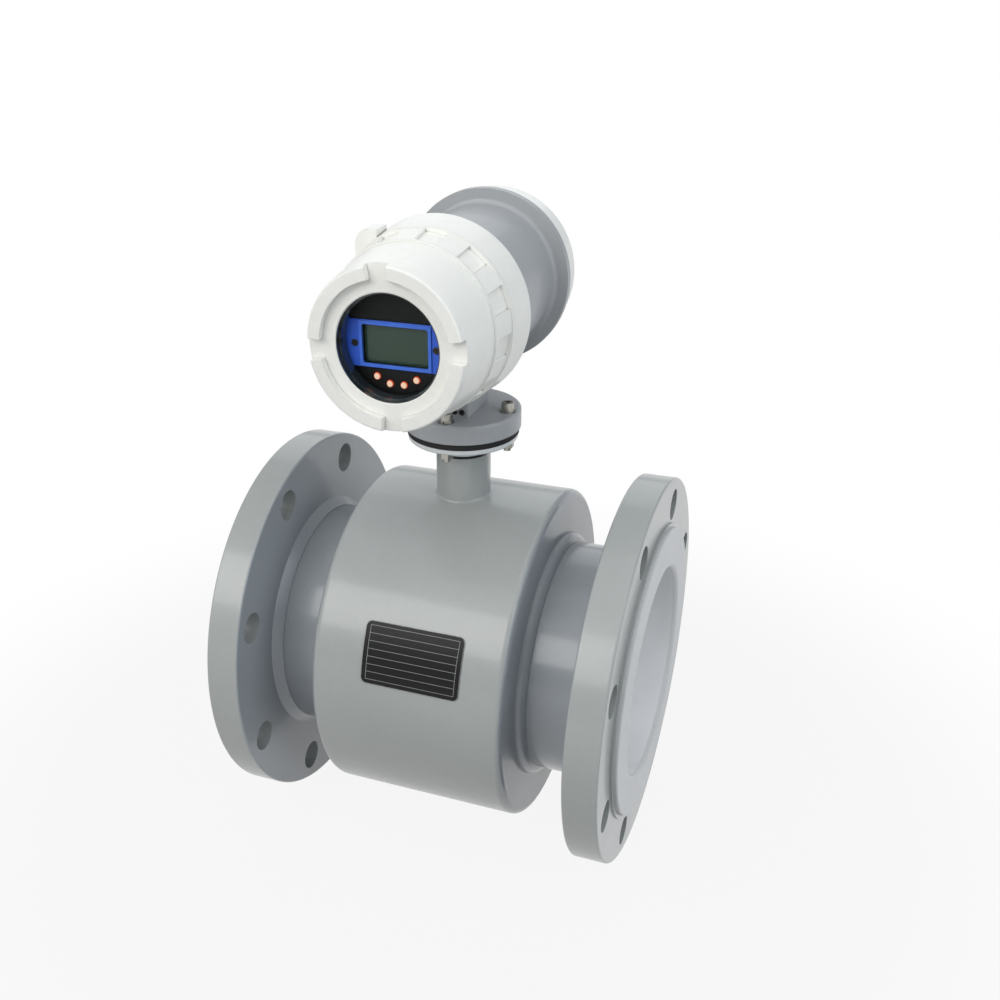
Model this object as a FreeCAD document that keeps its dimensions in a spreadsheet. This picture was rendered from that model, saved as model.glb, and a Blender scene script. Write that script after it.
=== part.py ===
"""Electromagnetic flow meter with six-inch class 150 flanges and a two-chamber converter.

X runs along the flow, from the inlet to the outlet. The display faces -Y and +Z is up. The origin is on
the flow axis, halfway between the two liner faces. All sizes are in millimetres.
"""
import FreeCAD, Part
import math
import os
import re
import Sketcher

SIZES = [
    # flow tube and its flanges
    ("face_to_face", 290, "length over the two liner faces"),
    ("pipe_radius", 84.15, "outside of the six-inch pipe"),
    ("pipe_wall", 4.5, ""),
    ("liner_thickness", 4, "PTFE inside the pipe"),
    ("liner_face_thickness", 3, "PTFE over each raised face"),
    ("liner_face_radius", 105, ""),
    ("liner_mouth_round", 4, "rounding where the bore meets the liner face"),
    ("liner_rim_round", 1.2, ""),
    ("raised_height", 1.6, "raised face of the flange"),
    ("raised_radius", 107.95, ""),
    ("flange_radius", 139.7, ""),
    ("flange_thickness", 25.4, "with the raised face"),
    ("flange_edge_round", 1.5, ""),
    ("bolt_circle_inset", 19.05, "from the flange's edge to its bolt circle"),
    ("bolt_hole_radius", 11.1, ""),
    ("bolt_hole_count", 8, ""),
    ("weld_leg", 6.5, "leg of the fillet welds on the pipe"),
    ("weld_toe", 0.8, "thickness of the flange welds where they end on the pipe"),
    # coil housing
    ("housing_radius", 121.5, ""),
    ("housing_length", 138.5, ""),
    ("housing_wall", 3, ""),
    ("housing_corner", 5, "outside corner of the pressed end caps"),
    ("cap_skirt", 14, "length of an end cap along the pipe"),
    # coils and electrodes
    ("coil_gap", 0.3, "between the pipe, the coils and the band"),
    ("coil_thickness", 11, ""),
    ("coil_length", 92, "along the pipe"),
    ("coil_width", 108, "across the pipe"),
    ("coil_winding", 17, "width of the wound section"),
    ("band_thickness", 2, "steel band that closes the magnetic path"),
    ("band_width", 64, ""),
    ("electrode_radius", 4, ""),
    ("electrode_length", 17, ""),
    ("bush_radius", 8, ""),
    ("bush_collar_radius", 11, ""),
    ("bush_collar_thickness", 3, ""),
    ("electrode_nut_width", 13, "across flats"),
    ("electrode_nut_height", 4, ""),
    # nameplate
    ("plate_length", 70, "along the pipe"),
    ("plate_height", 43, "round the housing"),
    ("plate_thickness", 0.8, ""),
    ("plate_corner", 4, ""),
    ("plate_shift", 4.3, "along the pipe from the middle"),
    ("plate_angle", 67.3, "down the front of the housing from its top, in degrees"),
    # stem and its flange
    ("stem_radius", 19, ""),
    ("stem_wall", 3, ""),
    ("stem_weld", 1.8, "fillet weld round the stem's foot"),
    ("stem_length", 31.5, "from the top of the housing up"),
    ("stem_seal_thickness", 2, ""),
    ("stem_seal_inset", 0.6, "how far the seal lies inside the stem"),
    ("fit_gap", 0.3, "clearance of pieces that slip together"),
    ("spigot_wall", 3, ""),
    ("spigot_depth", 12, "spigot of the lower flange inside the stem"),
    ("lower_flange_radius", 38, ""),
    ("lower_flange_neck", 8.1, "height of its neck on the stem"),
    ("lower_flange_thickness", 4.2, ""),
    ("lower_flange_round", 1.8, "of its lower edge"),
    ("gasket_radius", 38.5, ""),
    ("gasket_thickness", 4.4, ""),
    ("base_radius", 39.8, "base flange of the converter"),
    ("base_thickness", 13, ""),
    ("base_edge_round", 2, ""),
    ("base_bolt_circle", 32, "radius"),
    ("base_bolt_count", 4, ""),
    ("base_bolt_radius", 2.5, ""),
    ("base_head_radius", 4.25, ""),
    ("base_head_height", 5, ""),
    ("base_socket_width", 4, "across flats"),
    ("base_socket_depth", 2.5, ""),
    ("washer_radius", 5, "flat washer under each screw"),
    ("washer_thickness", 1, ""),
    ("spring_washer_radius", 4.6, ""),
    ("spring_washer_thickness", 1.4, ""),
    ("spring_washer_gap", 1, "between the ends of the split ring"),
    ("counterbore_radius", 5.5, ""),
    ("counterbore_depth", 0.8, ""),
    ("base_nut_width", 8, "across flats"),
    ("base_nut_height", 4, ""),
    ("base_bolt_tail", 2.5, "thread past the nut"),
    ("passage_radius", 8, "way for the coil and electrode wires"),
    # pedestal between the base flange and the waist
    ("axis_rise", 76.7, "from the base flange's top to the converter's axis"),
    ("pedestal_half_width", 11.7, ""),
    ("pedestal_front", 20.2, "in front of the converter's centre"),
    ("pedestal_back", 18, ""),
    ("pedestal_corner", 1.2, ""),
    ("pedestal_screw_radius", 2, ""),
    ("pedestal_screw_spacing", 5.4, ""),
    ("pedestal_screw_offset", 4.2, "towards the outlet"),
    ("pedestal_screw_height", 3.2, "above the base flange"),
    ("pedestal_screw_length", 6, ""),
    ("pedestal_screw_proud", 0.6, ""),
    # waist of the converter, distances along its axis are from its centre
    ("waist_radius", 48.5, ""),
    ("waist_wall", 5.5, ""),
    ("waist_front", 41.6, ""),
    ("front_wall_thickness", 6, "inner flange that carries the collar"),
    ("front_wall_opening", 28, ""),
    ("partition_front", -4, "wall between the two chambers"),
    ("partition_thickness", 6, ""),
    ("disc_front", 45, "front of the rear disc, behind the centre"),
    ("disc_thickness", 6, ""),
    ("disc_radius", 58.2, ""),
    ("disc_round", 3, "where the waist meets the disc"),
    ("rear_thread_radius", 50.2, ""),
    ("rear_thread_length", 12, ""),
    # white collar in front of the waist
    ("collar_back", 36.6, ""),
    ("collar_back_radius", 58.4, ""),
    ("collar_front", 61, ""),
    ("collar_front_radius", 56.3, ""),
    ("collar_wall_thickness", 5, ""),
    ("front_thread_radius", 47, ""),
    ("front_thread_length", 14, ""),
    ("front_thread_wall", 4, ""),
    ("lug_left", 47, ""),
    ("lug_right", 32.5, ""),
    ("lug_top", 51, "above the converter's axis"),
    ("lug_bottom", 30, ""),
    ("lug_back", 43, ""),
    ("lug_front", 58, ""),
    ("lug_round", 9, ""),
    # front cover
    ("thread_gap", 0.3, "radial clearance of both screwed covers"),
    ("seat_gap", 0.3, "between a screwed cover and its shoulder"),
    ("grip_back_radius", 56.4, ""),
    ("grip_front_radius", 53.6, ""),
    ("grip_front", 86, "front of the front ridge"),
    ("ridge_width", 2.6, ""),
    ("ridge_height", 0.9, ""),
    ("pocket_count", 12, ""),
    ("pocket_angle", 15, "in degrees"),
    ("pocket_turn", 20.5, "first pocket above the outlet side, in degrees"),
    ("pocket_depth", 1.9, ""),
    ("barrel_back_radius", 52.5, ""),
    ("barrel_front_radius", 49, ""),
    ("cover_face", 121, "front face round the window"),
    ("cover_face_wall", 4.5, ""),
    ("cover_bore_front_radius", 44.3, "inside of the cover behind its face"),
    ("window_radius", 32.1, ""),
    ("window_edge_round", 0.8, ""),
    ("pad_height", 4.7, "four raised arcs round the window"),
    ("pad_inner_radius", 40.4, ""),
    ("pad_outer_radius", 48.2, ""),
    ("pad_edge_round", 1.3, ""),
    ("pad_count", 4, ""),
    ("pad_gap_angle", 16, "in degrees"),
    ("pad_turn", 4, "in degrees"),
    # window
    ("ring_wall", 1.4, "black ring that lines the window"),
    ("ring_inset", 0.4, "behind the cover's face"),
    ("ring_flange_radius", 36, ""),
    ("ring_flange_thickness", 2.5, ""),
    ("ring_sleeve_length", 4, "of the ring behind its flange, down to the panel"),
    ("glass_seat_step", 1, "radial step that the glass rests on"),
    ("glass_thickness", 3, ""),
    ("glass_inset", 0.3, "behind the ring's front"),
    # display
    ("panel_setback", 1.8, "behind the window ring"),
    ("panel_radius", 34, ""),
    ("panel_thickness", 2.2, ""),
    ("frame_radius", 32.5, "ends of the blue frame"),
    ("frame_drop", 1.8, "of the display below the converter's axis"),
    ("frame_half_height", 14, ""),
    ("frame_thickness", 0.8, ""),
    ("border_height", 0.9, "raised border round the display"),
    ("border_width", 1.9, ""),
    ("screen_width", 41.4, "opening of the frame"),
    ("screen_height", 23.3, ""),
    ("screen_corner", 1.5, ""),
    ("lcd_margin", 1.5, "of the display glass behind the opening, each way"),
    ("lcd_thickness", 2.4, ""),
    ("frame_screw_place", 25.5, "each side of the middle"),
    ("frame_screw_radius", 1.2, ""),
    ("frame_screw_head_radius", 2, ""),
    ("frame_screw_head_height", 0.8, ""),
    ("button_circle", 20.2, "radius of the arc of buttons"),
    ("button_drop", 5.2, "of the arc's middle below the converter's axis"),
    ("button_step", 25.5, "between buttons, in degrees"),
    ("button_radius", 2.2, ""),
    ("button_gap", 0.2, "radial clearance in the panel"),
    ("button_proud", 0.9, "cap in front of the panel"),
    ("button_flange_radius", 3.1, ""),
    ("button_flange_thickness", 0.9, ""),
    ("button_dome", 0.7, "rounding of the cap"),
    ("button_travel", 0.5, ""),
    ("spacer_length", 4.4, "between the display board and the panel"),
    ("spacer_radius", 2.8, ""),
    ("switch_side", 5, ""),
    ("board_thickness", 1.6, ""),
    ("display_board_radius", 39.4, ""),
    # electronics case in the front chamber
    ("case_radius", 40, ""),
    ("case_wall", 2, ""),
    ("case_back_thickness", 2.5, ""),
    ("case_opening", 18, ""),
    ("module_screw_circle", 33.5, "radius"),
    ("module_screw_count", 4, ""),
    ("module_screw_radius", 2, ""),
    ("module_screw_head_radius", 3.5, ""),
    ("module_screw_head_height", 2.6, ""),
    ("post_circle", 31, "radius"),
    ("post_radius", 3.5, ""),
    ("post_length", 18, ""),
    ("main_board_radius", 36, ""),
    ("board_screw_radius", 1.5, ""),
    ("board_screw_head_radius", 2.8, ""),
    ("board_screw_head_height", 2, ""),
    ("board_screw_length", 8, ""),
    ("transformer_width", 28, ""),
    ("transformer_depth", 16, ""),
    ("transformer_height", 24, ""),
    # rear chamber
    ("terminal_width", 56, ""),
    ("terminal_height", 20, ""),
    ("terminal_depth", 15, ""),
    ("terminal_count", 7, ""),
    ("terminal_screw_radius", 2.2, ""),
    ("terminal_screw_depth", 2, ""),
    # rear cover
    ("rear_cover_radius", 56.2, ""),
    ("rear_cover_end_radius", 54.4, ""),
    ("rear_cover_back", 77, "behind the converter's centre"),
    ("rear_cover_wall", 4.5, ""),
    ("rear_cover_round", 5, ""),
    ("rear_pad_height", 3.5, ""),
    ("rear_pad_inner_radius", 38, ""),
    ("rear_pad_outer_radius", 46, ""),
    # seals of both covers
    ("seal_section", 1.25, "radius of the O-ring's section"),
    ("seal_gap", 0.15, ""),
    ("seal_room", 3.2, "rebate in the cover's rim, both ways"),
    # cable glands
    ("gland_back", 26, "behind the converter's centre"),
    ("gland_spacing", 30, ""),
    ("gland_boss_radius", 13.4, ""),
    ("gland_boss_face", 51.5, "from the converter's axis"),
    ("gland_thread_radius", 10, ""),
    ("gland_thread_length", 9, ""),
    ("gland_hex_width", 24, ""),
    ("gland_hex_height", 5, ""),
    ("gland_nut_width", 22, ""),
    ("gland_nut_height", 14, ""),
    ("gland_bore_radius", 6.5, ""),
    ("gland_insert_bore", 4, ""),
    ("gland_insert_length", 13, ""),
]

# Places along each axis, as formulas of the named sizes
FACE = "(face_to_face / 2)"
RAISED_FACE = "(face_to_face / 2 - liner_face_thickness)"
FLANGE_FACE = "(face_to_face / 2 - liner_face_thickness - raised_height)"
FLANGE_BACK = "(face_to_face / 2 - liner_face_thickness - flange_thickness)"
BOLT_CIRCLE = "(flange_radius - bolt_circle_inset)"
PIPE_BORE = "(pipe_radius - pipe_wall)"
LINER_BORE = "(pipe_radius - pipe_wall - liner_thickness)"
HOUSING_END = "(housing_length / 2)"
CAP_SEAM = "(housing_length / 2 - cap_skirt)"
COIL_INSIDE = "(pipe_radius + coil_gap)"
BAND_INSIDE = "(pipe_radius + 2 * coil_gap + coil_thickness)"
STEM_TOP = "(housing_radius + stem_length)"
LOWER_FLANGE_UNDERSIDE = f"({STEM_TOP} + stem_seal_thickness + lower_flange_neck)"
GASKET_UNDERSIDE = f"({LOWER_FLANGE_UNDERSIDE} + lower_flange_thickness)"
BASE_UNDERSIDE = f"({GASKET_UNDERSIDE} + gasket_thickness)"
BASE_TOP = f"({BASE_UNDERSIDE} + base_thickness)"
AXIS_HEIGHT = f"({BASE_TOP} + axis_rise)"
WAIST_BORE = "(waist_radius - waist_wall)"
DISC_BACK = "(disc_front + disc_thickness)"
COLLAR_WALL_FRONT = "(waist_front + collar_wall_thickness)"
SPIGOT_BORE = "(front_thread_radius - front_thread_wall)"
COVER_BACK = "(collar_front + seat_gap)"
COVER_BORE = "(front_thread_radius + thread_gap)"
LIP_BACK = "(cover_face - cover_face_wall)"
RING_SHOULDER = f"({LIP_BACK} - ring_flange_thickness)"
RING_BACK = f"({RING_SHOULDER} - ring_sleeve_length)"
RING_BORE = "(window_radius - ring_wall)"
RING_FRONT = "(cover_face - ring_inset)"
GLASS_FRONT = f"({RING_FRONT} - glass_inset)"
GLASS_BACK = f"({GLASS_FRONT} - glass_thickness)"
GLASS_RADIUS = f"({RING_BORE} + glass_seat_step)"
PANEL_FRONT = f"({RING_BACK} - panel_setback)"
PANEL_BACK = f"({PANEL_FRONT} - panel_thickness)"
FRAME_FRONT = f"({PANEL_FRONT} + frame_thickness)"
DISPLAY_BOARD_FRONT = f"({PANEL_BACK} - spacer_length)"
CASE_FRONT = f"({DISPLAY_BOARD_FRONT} - board_thickness)"
CASE_FLOOR = f"({COLLAR_WALL_FRONT} + case_back_thickness)"
MAIN_BOARD_BACK = f"({CASE_FLOOR} + post_length)"
MAIN_BOARD_FRONT = f"({MAIN_BOARD_BACK} + board_thickness)"
PARTITION_BACK = "(partition_front - partition_thickness)"
REAR_COVER_FRONT = f"({DISC_BACK} + seat_gap)"
REAR_COVER_BORE = "(rear_thread_radius + thread_gap)"
GLAND_HEX_FACE = "(gland_boss_face + gland_hex_height)"
GLAND_END = f"({GLAND_HEX_FACE} + gland_nut_height)"

doc = FreeCAD.newDocument("electromagnetic_flow_meter")
sheet = doc.addObject("Spreadsheet::Sheet", "Sizes")
for row, (name, size, note) in enumerate(SIZES, 1):
    sheet.set(f"A{row}", name)
    sheet.set(f"B{row}", str(size))
    sheet.set(f"C{row}", note)
    sheet.setAlias(f"B{row}", name)
doc.recompute()

ALIASES = {name for name, size, note in SIZES}
nodes = []


# ---- helpers ----------------------------------------------------------------------------------

def bound(formula):
    """Write a formula of plain size names as an expression on the sheet."""
    def named(word):
        return "Sizes." + word.group() if word.group() in ALIASES else word.group()
    return re.sub(r"[a-z][a-z_]*", named, formula)


def value(formula):
    return float(sheet.evalExpression(bound(formula)))


def bind(thing, **formulas):
    """Tie properties of an object to formulas; x, y and z place it."""
    for name, formula in formulas.items():
        path = f"Placement.Base.{name}" if name in ("x", "y", "z") else name
        thing.setExpression(path, bound(formula))


def new_body(label, node=True, **place):
    """Start a PartDesign body, its frame turned and placed by the caller."""
    body = doc.addObject("PartDesign::Body", label)
    body.Label = label
    bind(body, **place)
    if node:
        nodes.append(body)
    return body


def converter_body(label, node=True):
    """Start a body whose own frame is centred on the converter's axis."""
    return new_body(label, node, z=AXIS_HEIGHT)


def sketch_on(body, label, plane, offset=None, turn=None):
    """Lay an empty sketch on one of the body's own origin planes."""
    sketch = body.newObject("Sketcher::SketchObject", label)
    support = [part for part in body.Origin.OriginFeatures if part.Role == plane][0]
    sketch.AttachmentSupport = (support, [""])
    sketch.MapMode = "FlatFace"
    if turn:
        axis, formula = turn
        rotation = FreeCAD.Rotation(FreeCAD.Vector(*axis), value(formula))
        sketch.AttachmentOffset = FreeCAD.Placement(FreeCAD.Vector(), rotation)
    if offset:
        sketch.setExpression("AttachmentOffset.Base.z", bound(offset))
    return sketch


def tie_point(sketch, edge, spot, x, y):
    """Hold one point of an edge at (x, y), two formulas measured from the sketch's origin."""
    for kind, formula in (("DistanceX", x), ("DistanceY", y)):
        size = value(formula)
        index = sketch.addConstraint(Sketcher.Constraint(kind, -1, 1, edge, spot, size))
        sketch.setExpression(f"Constraints[{index}]", bound(formula))


def draw_outline(sketch, corners):
    """Draw a closed chain of straight lines through corners given as pairs of formulas."""
    first = sketch.GeometryCount
    points = [FreeCAD.Vector(value(x), value(y), 0) for x, y in corners]
    for start, end in zip(points, points[1:] + points[:1]):
        sketch.addGeometry(Part.LineSegment(start, end), False)
    count = len(corners)
    for index, (x, y) in enumerate(corners):
        following = first + (index + 1) % count
        sketch.addConstraint(Sketcher.Constraint("Coincident", first + index, 2, following, 1))
        tie_point(sketch, first + index, 1, x, y)
    return sketch


def draw_circle(sketch, radius, x="0", y="0"):
    centre = FreeCAD.Vector(value(x), value(y), 0)
    edge = sketch.addGeometry(Part.Circle(centre, FreeCAD.Vector(0, 0, 1), value(radius)), False)
    index = sketch.addConstraint(Sketcher.Constraint("Radius", edge, value(radius)))
    sketch.setExpression(f"Constraints[{index}]", bound(radius))
    tie_point(sketch, edge, 3, x, y)
    return sketch


def draw_hexagon(sketch, width, x="0", y="0"):
    """Draw a hexagon of the given width across flats, two of its corners up and down."""
    reach = f"({width}) / sqrt(3)"
    corners = []
    for step in range(6):
        angle = math.radians(30 + 60 * step)
        corners.append((f"{x} + {reach} * {math.cos(angle):.9f}", f"{y} + {reach} * {math.sin(angle):.9f}"))
    return draw_outline(sketch, corners)


def draw_box(sketch, left, bottom, right, top):
    return draw_outline(sketch, [(left, bottom), (right, bottom), (right, top), (left, top)])


def turned(body, label, plane, axis, corners):
    """Turn a closed outline once round the sketch's H_Axis or V_Axis."""
    profile = draw_outline(sketch_on(body, label + "_profile", plane), corners)
    feature = body.newObject("PartDesign::Revolution", label)
    feature.Profile = profile
    feature.ReferenceAxis = (profile, [axis])
    feature.Angle = 360
    doc.recompute()
    return feature


def padded(body, label, sketch, length, backwards=False, both=False):
    feature = body.newObject("PartDesign::Pad", label)
    feature.Profile = sketch
    feature.Reversed = backwards
    feature.Midplane = both
    bind(feature, Length=length)
    doc.recompute()
    return feature


def pocketed(body, label, sketch, length, backwards=False, both=False):
    """Cut a sketch out of the body and make sure that something was cut."""
    before = body.Shape.Volume
    feature = body.newObject("PartDesign::Pocket", label)
    feature.Profile = sketch
    feature.Reversed = backwards
    feature.Midplane = both
    bind(feature, Length=length)
    doc.recompute()
    if body.Shape.Volume > before - 1e-3:
        raise RuntimeError(f"{label} cuts nothing")
    return feature


def grooved(body, label, sketch, axis, angle):
    """Cut a sector out of the body, centred on the sketch's plane."""
    before = body.Shape.Volume
    feature = body.newObject("PartDesign::Groove", label)
    feature.Profile = sketch
    feature.ReferenceAxis = (sketch, [axis])
    feature.Midplane = True
    bind(feature, Angle=angle)
    doc.recompute()
    if body.Shape.Volume > before - 1e-3:
        raise RuntimeError(f"{label} cuts nothing")
    return feature


def repeated(body, label, feature, axis_sketch, axis, count):
    """Repeat a feature evenly round an axis of the given sketch."""
    pattern = body.newObject("PartDesign::PolarPattern", label)
    pattern.Originals = [feature]
    pattern.Axis = (axis_sketch, [axis])
    pattern.Angle = 360
    bind(pattern, Occurrences=count)
    body.Tip = pattern
    doc.recompute()
    return pattern


def ring_edge(radius, along=None, place=None):
    """Pick circular edges by radius and, along axis 'x', 'y' or 'z', by the place of their centre."""
    def test(edge):
        curve = edge.Curve
        if not isinstance(curve, Part.Circle) or abs(curve.Radius - value(radius)) > 1e-3:
            return False
        return along is None or abs(getattr(curve.Center, along) - value(place)) < 1e-3
    return test


def edge_along(axis, **bounds):
    """Pick straight edges parallel to an axis, with the middle inside optional bounds."""
    def test(edge):
        if not isinstance(edge.Curve, Part.Line):
            return False
        if abs(abs(getattr(edge.Curve.Direction, axis)) - 1) > 1e-6:
            return False
        middle = edge.CenterOfMass
        return all(value(low) < getattr(middle, key) < value(high) for key, (low, high) in bounds.items())
    return test


def rounded(body, label, radius, *tests):
    """Round the edges of the body's tip that any of the tests picks."""
    base = body.Tip
    edges = enumerate(base.Shape.Edges, 1)
    names = [f"Edge{index}" for index, edge in edges if any(test(edge) for test in tests)]
    if not names:
        raise RuntimeError(f"{label} finds no edge")
    feature = body.newObject("PartDesign::Fillet", label)
    feature.Base = (base, names)
    bind(feature, Radius=radius)
    doc.recompute()
    return feature


def cylinder(label, radius, height, turn=None, **place):
    """Make a Part cylinder; turn is an axis and an angle that lays it down."""
    shape = doc.addObject("Part::Cylinder", label)
    bind(shape, Radius=radius, Height=height)
    if turn:
        shape.Placement.Rotation = FreeCAD.Rotation(FreeCAD.Vector(*turn[0]), turn[1])
    bind(shape, **place)
    return shape


ALONG_X = ((0, 1, 0), 90)
ALONG_Y = ((1, 0, 0), -90)


def combined(kind, label, base, tool, node=False):
    """Join two Part shapes by Part::Cut, Part::Fuse or Part::Common."""
    result = doc.addObject("Part::" + kind, label)
    result.Label = label
    result.Base = base
    result.Tool = tool
    if node:
        nodes.append(result)
    return result


def copies(label, prototype, placements):
    """Gather placed copies of a prototype's solid in one node."""
    doc.recompute()
    group = doc.addObject("Part::Feature", label)
    group.Label = label
    solids = []
    for placement in placements:
        solid = prototype.Shape.copy()
        solid.Placement = placement.multiply(solid.Placement)
        solids.append(solid)
    group.Shape = Part.makeCompound(solids)
    nodes.append(group)
    return group


def spread_about(axis, centre, count, start=0):
    """Placements that turn a prototype evenly round an axis through a centre."""
    for step in range(count):
        rotation = FreeCAD.Rotation(FreeCAD.Vector(*axis), start + 360 * step / count)
        yield FreeCAD.Placement(FreeCAD.Vector(), rotation, FreeCAD.Vector(*centre))


def moved(x=0, y=0, z=0):
    return FreeCAD.Placement(FreeCAD.Vector(x, y, z), FreeCAD.Rotation())


# ---- flow tube --------------------------------------------------------------------------------

def measuring_pipe():
    """Six-inch pipe with a hole each side for the electrode bushes."""
    body = new_body("measuring_pipe")
    turned(body, "pipe_wall_turned", "XY_Plane", "H_Axis", [
        (f"-{RAISED_FACE}", PIPE_BORE), (RAISED_FACE, PIPE_BORE),
        (RAISED_FACE, "pipe_radius"), (f"-{RAISED_FACE}", "pipe_radius")])
    holes = draw_circle(sketch_on(body, "bush_holes", "XZ_Plane"), "bush_radius")
    pocketed(body, "bush_holes_cut", holes, "3 * pipe_radius", both=True)


def liner():
    """PTFE liner, flared over both raised faces, with a hole each side for an electrode."""
    body = new_body("liner")
    turned(body, "liner_turned", "XY_Plane", "H_Axis", [
        (f"-{FACE}", LINER_BORE), (FACE, LINER_BORE),
        (FACE, "liner_face_radius"), (RAISED_FACE, "liner_face_radius"),
        (RAISED_FACE, PIPE_BORE), (f"-{RAISED_FACE}", PIPE_BORE),
        (f"-{RAISED_FACE}", "liner_face_radius"), (f"-{FACE}", "liner_face_radius")])
    mouths = [ring_edge(LINER_BORE, "x", sign + FACE) for sign in ("", "-")]
    rounded(body, "mouth_rounds", "liner_mouth_round", *mouths)
    rims = [ring_edge("liner_face_radius", "x", sign + FACE) for sign in ("", "-")]
    rounded(body, "rim_rounds", "liner_rim_round", *rims)
    holes = draw_circle(sketch_on(body, "electrode_holes", "XZ_Plane"), "electrode_radius")
    pocketed(body, "electrode_holes_cut", holes, "3 * pipe_radius", both=True)


def flange(label, side):
    """Slip-on flange with its raised face, bolt holes and the flat fillet weld at its back."""
    body = new_body(label)
    outer, raised, back = [f"{side}{place}" for place in (FLANGE_FACE, RAISED_FACE, FLANGE_BACK)]
    bead = f"{side}({FLANGE_BACK} - weld_leg)"
    turned(body, label + "_turned", "XY_Plane", "H_Axis", [
        (bead, "pipe_radius"), (raised, "pipe_radius"), (raised, "raised_radius"),
        (outer, "raised_radius"), (outer, "flange_radius"), (back, "flange_radius"),
        (back, "pipe_radius + weld_leg"), (bead, "pipe_radius + weld_toe")])
    rims = [ring_edge("flange_radius", "x", place) for place in (outer, back)]
    rounded(body, label + "_rims", "flange_edge_round", *rims)
    hole = sketch_on(body, label + "_hole", "YZ_Plane")
    half_step = "180 / bolt_hole_count"
    draw_circle(hole, "bolt_hole_radius", f"{BOLT_CIRCLE} * sin({half_step} * 1deg)",
                f"{BOLT_CIRCLE} * cos({half_step} * 1deg)")
    cut = pocketed(body, label + "_hole_cut", hole, "2 * face_to_face", both=True)
    repeated(body, label + "_holes", cut, hole, "N_Axis", "bolt_hole_count")


def saddle_coil(label, side):
    """Racetrack winding bent round the pipe, above or below it."""
    outside = cylinder(label + "_outside", f"{COIL_INSIDE} + coil_thickness", "coil_length", ALONG_X,
                       x="-coil_length / 2")
    inside = cylinder(label + "_inside", COIL_INSIDE, "coil_length", ALONG_X, x="-coil_length / 2")
    shell = combined("Cut", label + "_shell", outside, inside)
    frame = new_body(label + "_frame", node=False)
    reach = f"({COIL_INSIDE} + coil_thickness)"
    sketch = sketch_on(frame, label + "_track", "XY_Plane")
    draw_box(sketch, "-coil_length / 2", "-coil_width / 2", "coil_length / 2", "coil_width / 2")
    draw_box(sketch, "-coil_length / 2 + coil_winding", "-coil_width / 2 + coil_winding",
             "coil_length / 2 - coil_winding", "coil_width / 2 - coil_winding")
    padded(frame, label + "_height", sketch, reach, backwards=side < 0)
    combined("Common", label, shell, frame, node=True)


def flux_band():
    """Steel band round both coils that closes the magnetic path."""
    body = new_body("flux_band")
    outside = f"({BAND_INSIDE} + band_thickness)"
    turned(body, "band_turned", "XY_Plane", "H_Axis", [
        ("-band_width / 2", BAND_INSIDE), ("band_width / 2", BAND_INSIDE),
        ("band_width / 2", outside), ("-band_width / 2", outside)])


def electrodes():
    """Pins through the liner at the front and back, each with its bush and nut."""
    pin = new_body("electrode_pin", node=False)
    end = f"({LINER_BORE} + electrode_length)"
    turned(pin, "pin_turned", "XY_Plane", "V_Axis", [
        ("0", LINER_BORE), ("electrode_radius", LINER_BORE), ("electrode_radius", end), ("0", end)])
    bush = new_body("electrode_bush", node=False)
    collar = "(pipe_radius + bush_collar_thickness)"
    turned(bush, "bush_turned", "XY_Plane", "V_Axis", [
        ("electrode_radius", PIPE_BORE), ("bush_radius", PIPE_BORE), ("bush_radius", "pipe_radius"),
        ("bush_collar_radius", "pipe_radius"), ("bush_collar_radius", collar),
        ("electrode_radius", collar)])
    nut = new_body("electrode_nut", node=False)
    sketch = sketch_on(nut, "nut_outline", "XZ_Plane", offset=f"-{collar}")
    draw_hexagon(sketch, "electrode_nut_width")
    draw_circle(sketch, "electrode_radius")
    padded(nut, "nut_height", sketch, "electrode_nut_height", backwards=True)
    back, front = spread_about((0, 0, 1), (0, 0, 0), 2)
    copies("electrode_front", pin, [front])
    copies("electrode_rear", pin, [back])
    copies("electrode_bushes", bush, [front, back])
    copies("electrode_nuts", nut, [front, back])


# ---- coil housing -----------------------------------------------------------------------------

def housing_shell():
    """Rolled cylinder with a hole on top for the wires."""
    outside = cylinder("shell_outside", "housing_radius", f"2 * {CAP_SEAM}", ALONG_X, x=f"-{CAP_SEAM}")
    inside = cylinder("shell_inside", "housing_radius - housing_wall", f"2 * {CAP_SEAM}", ALONG_X,
                      x=f"-{CAP_SEAM}")
    wall = combined("Cut", "shell_wall", outside, inside)
    hole = cylinder("shell_hole", "stem_radius - stem_wall", STEM_TOP)
    combined("Cut", "housing_shell", wall, hole, node=True)


def housing_cap(label, side):
    """Pressed end cap with a rounded outer corner, welded to the pipe by a convex bead."""
    body = new_body(label)
    end, seam = f"{side}{HOUSING_END}", f"{side}{CAP_SEAM}"
    inner = f"{side}({HOUSING_END} - housing_wall)"
    bead = f"{side}({HOUSING_END} + weld_leg)"
    turned(body, label + "_turned", "XY_Plane", "H_Axis", [
        (seam, "housing_radius"), (end, "housing_radius"), (end, "pipe_radius + weld_leg"),
        (bead, "pipe_radius + weld_leg"), (bead, "pipe_radius"), (inner, "pipe_radius"),
        (inner, "housing_radius - housing_wall"), (seam, "housing_radius - housing_wall")])
    rounded(body, label + "_bead", "0.95 * weld_leg", ring_edge("pipe_radius + weld_leg", "x", bead))
    rounded(body, label + "_corner", "housing_corner", ring_edge("housing_radius", "x", end))
    rounded(body, label + "_inner_corner", "housing_corner - housing_wall",
            ring_edge("housing_radius - housing_wall", "x", inner))


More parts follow.
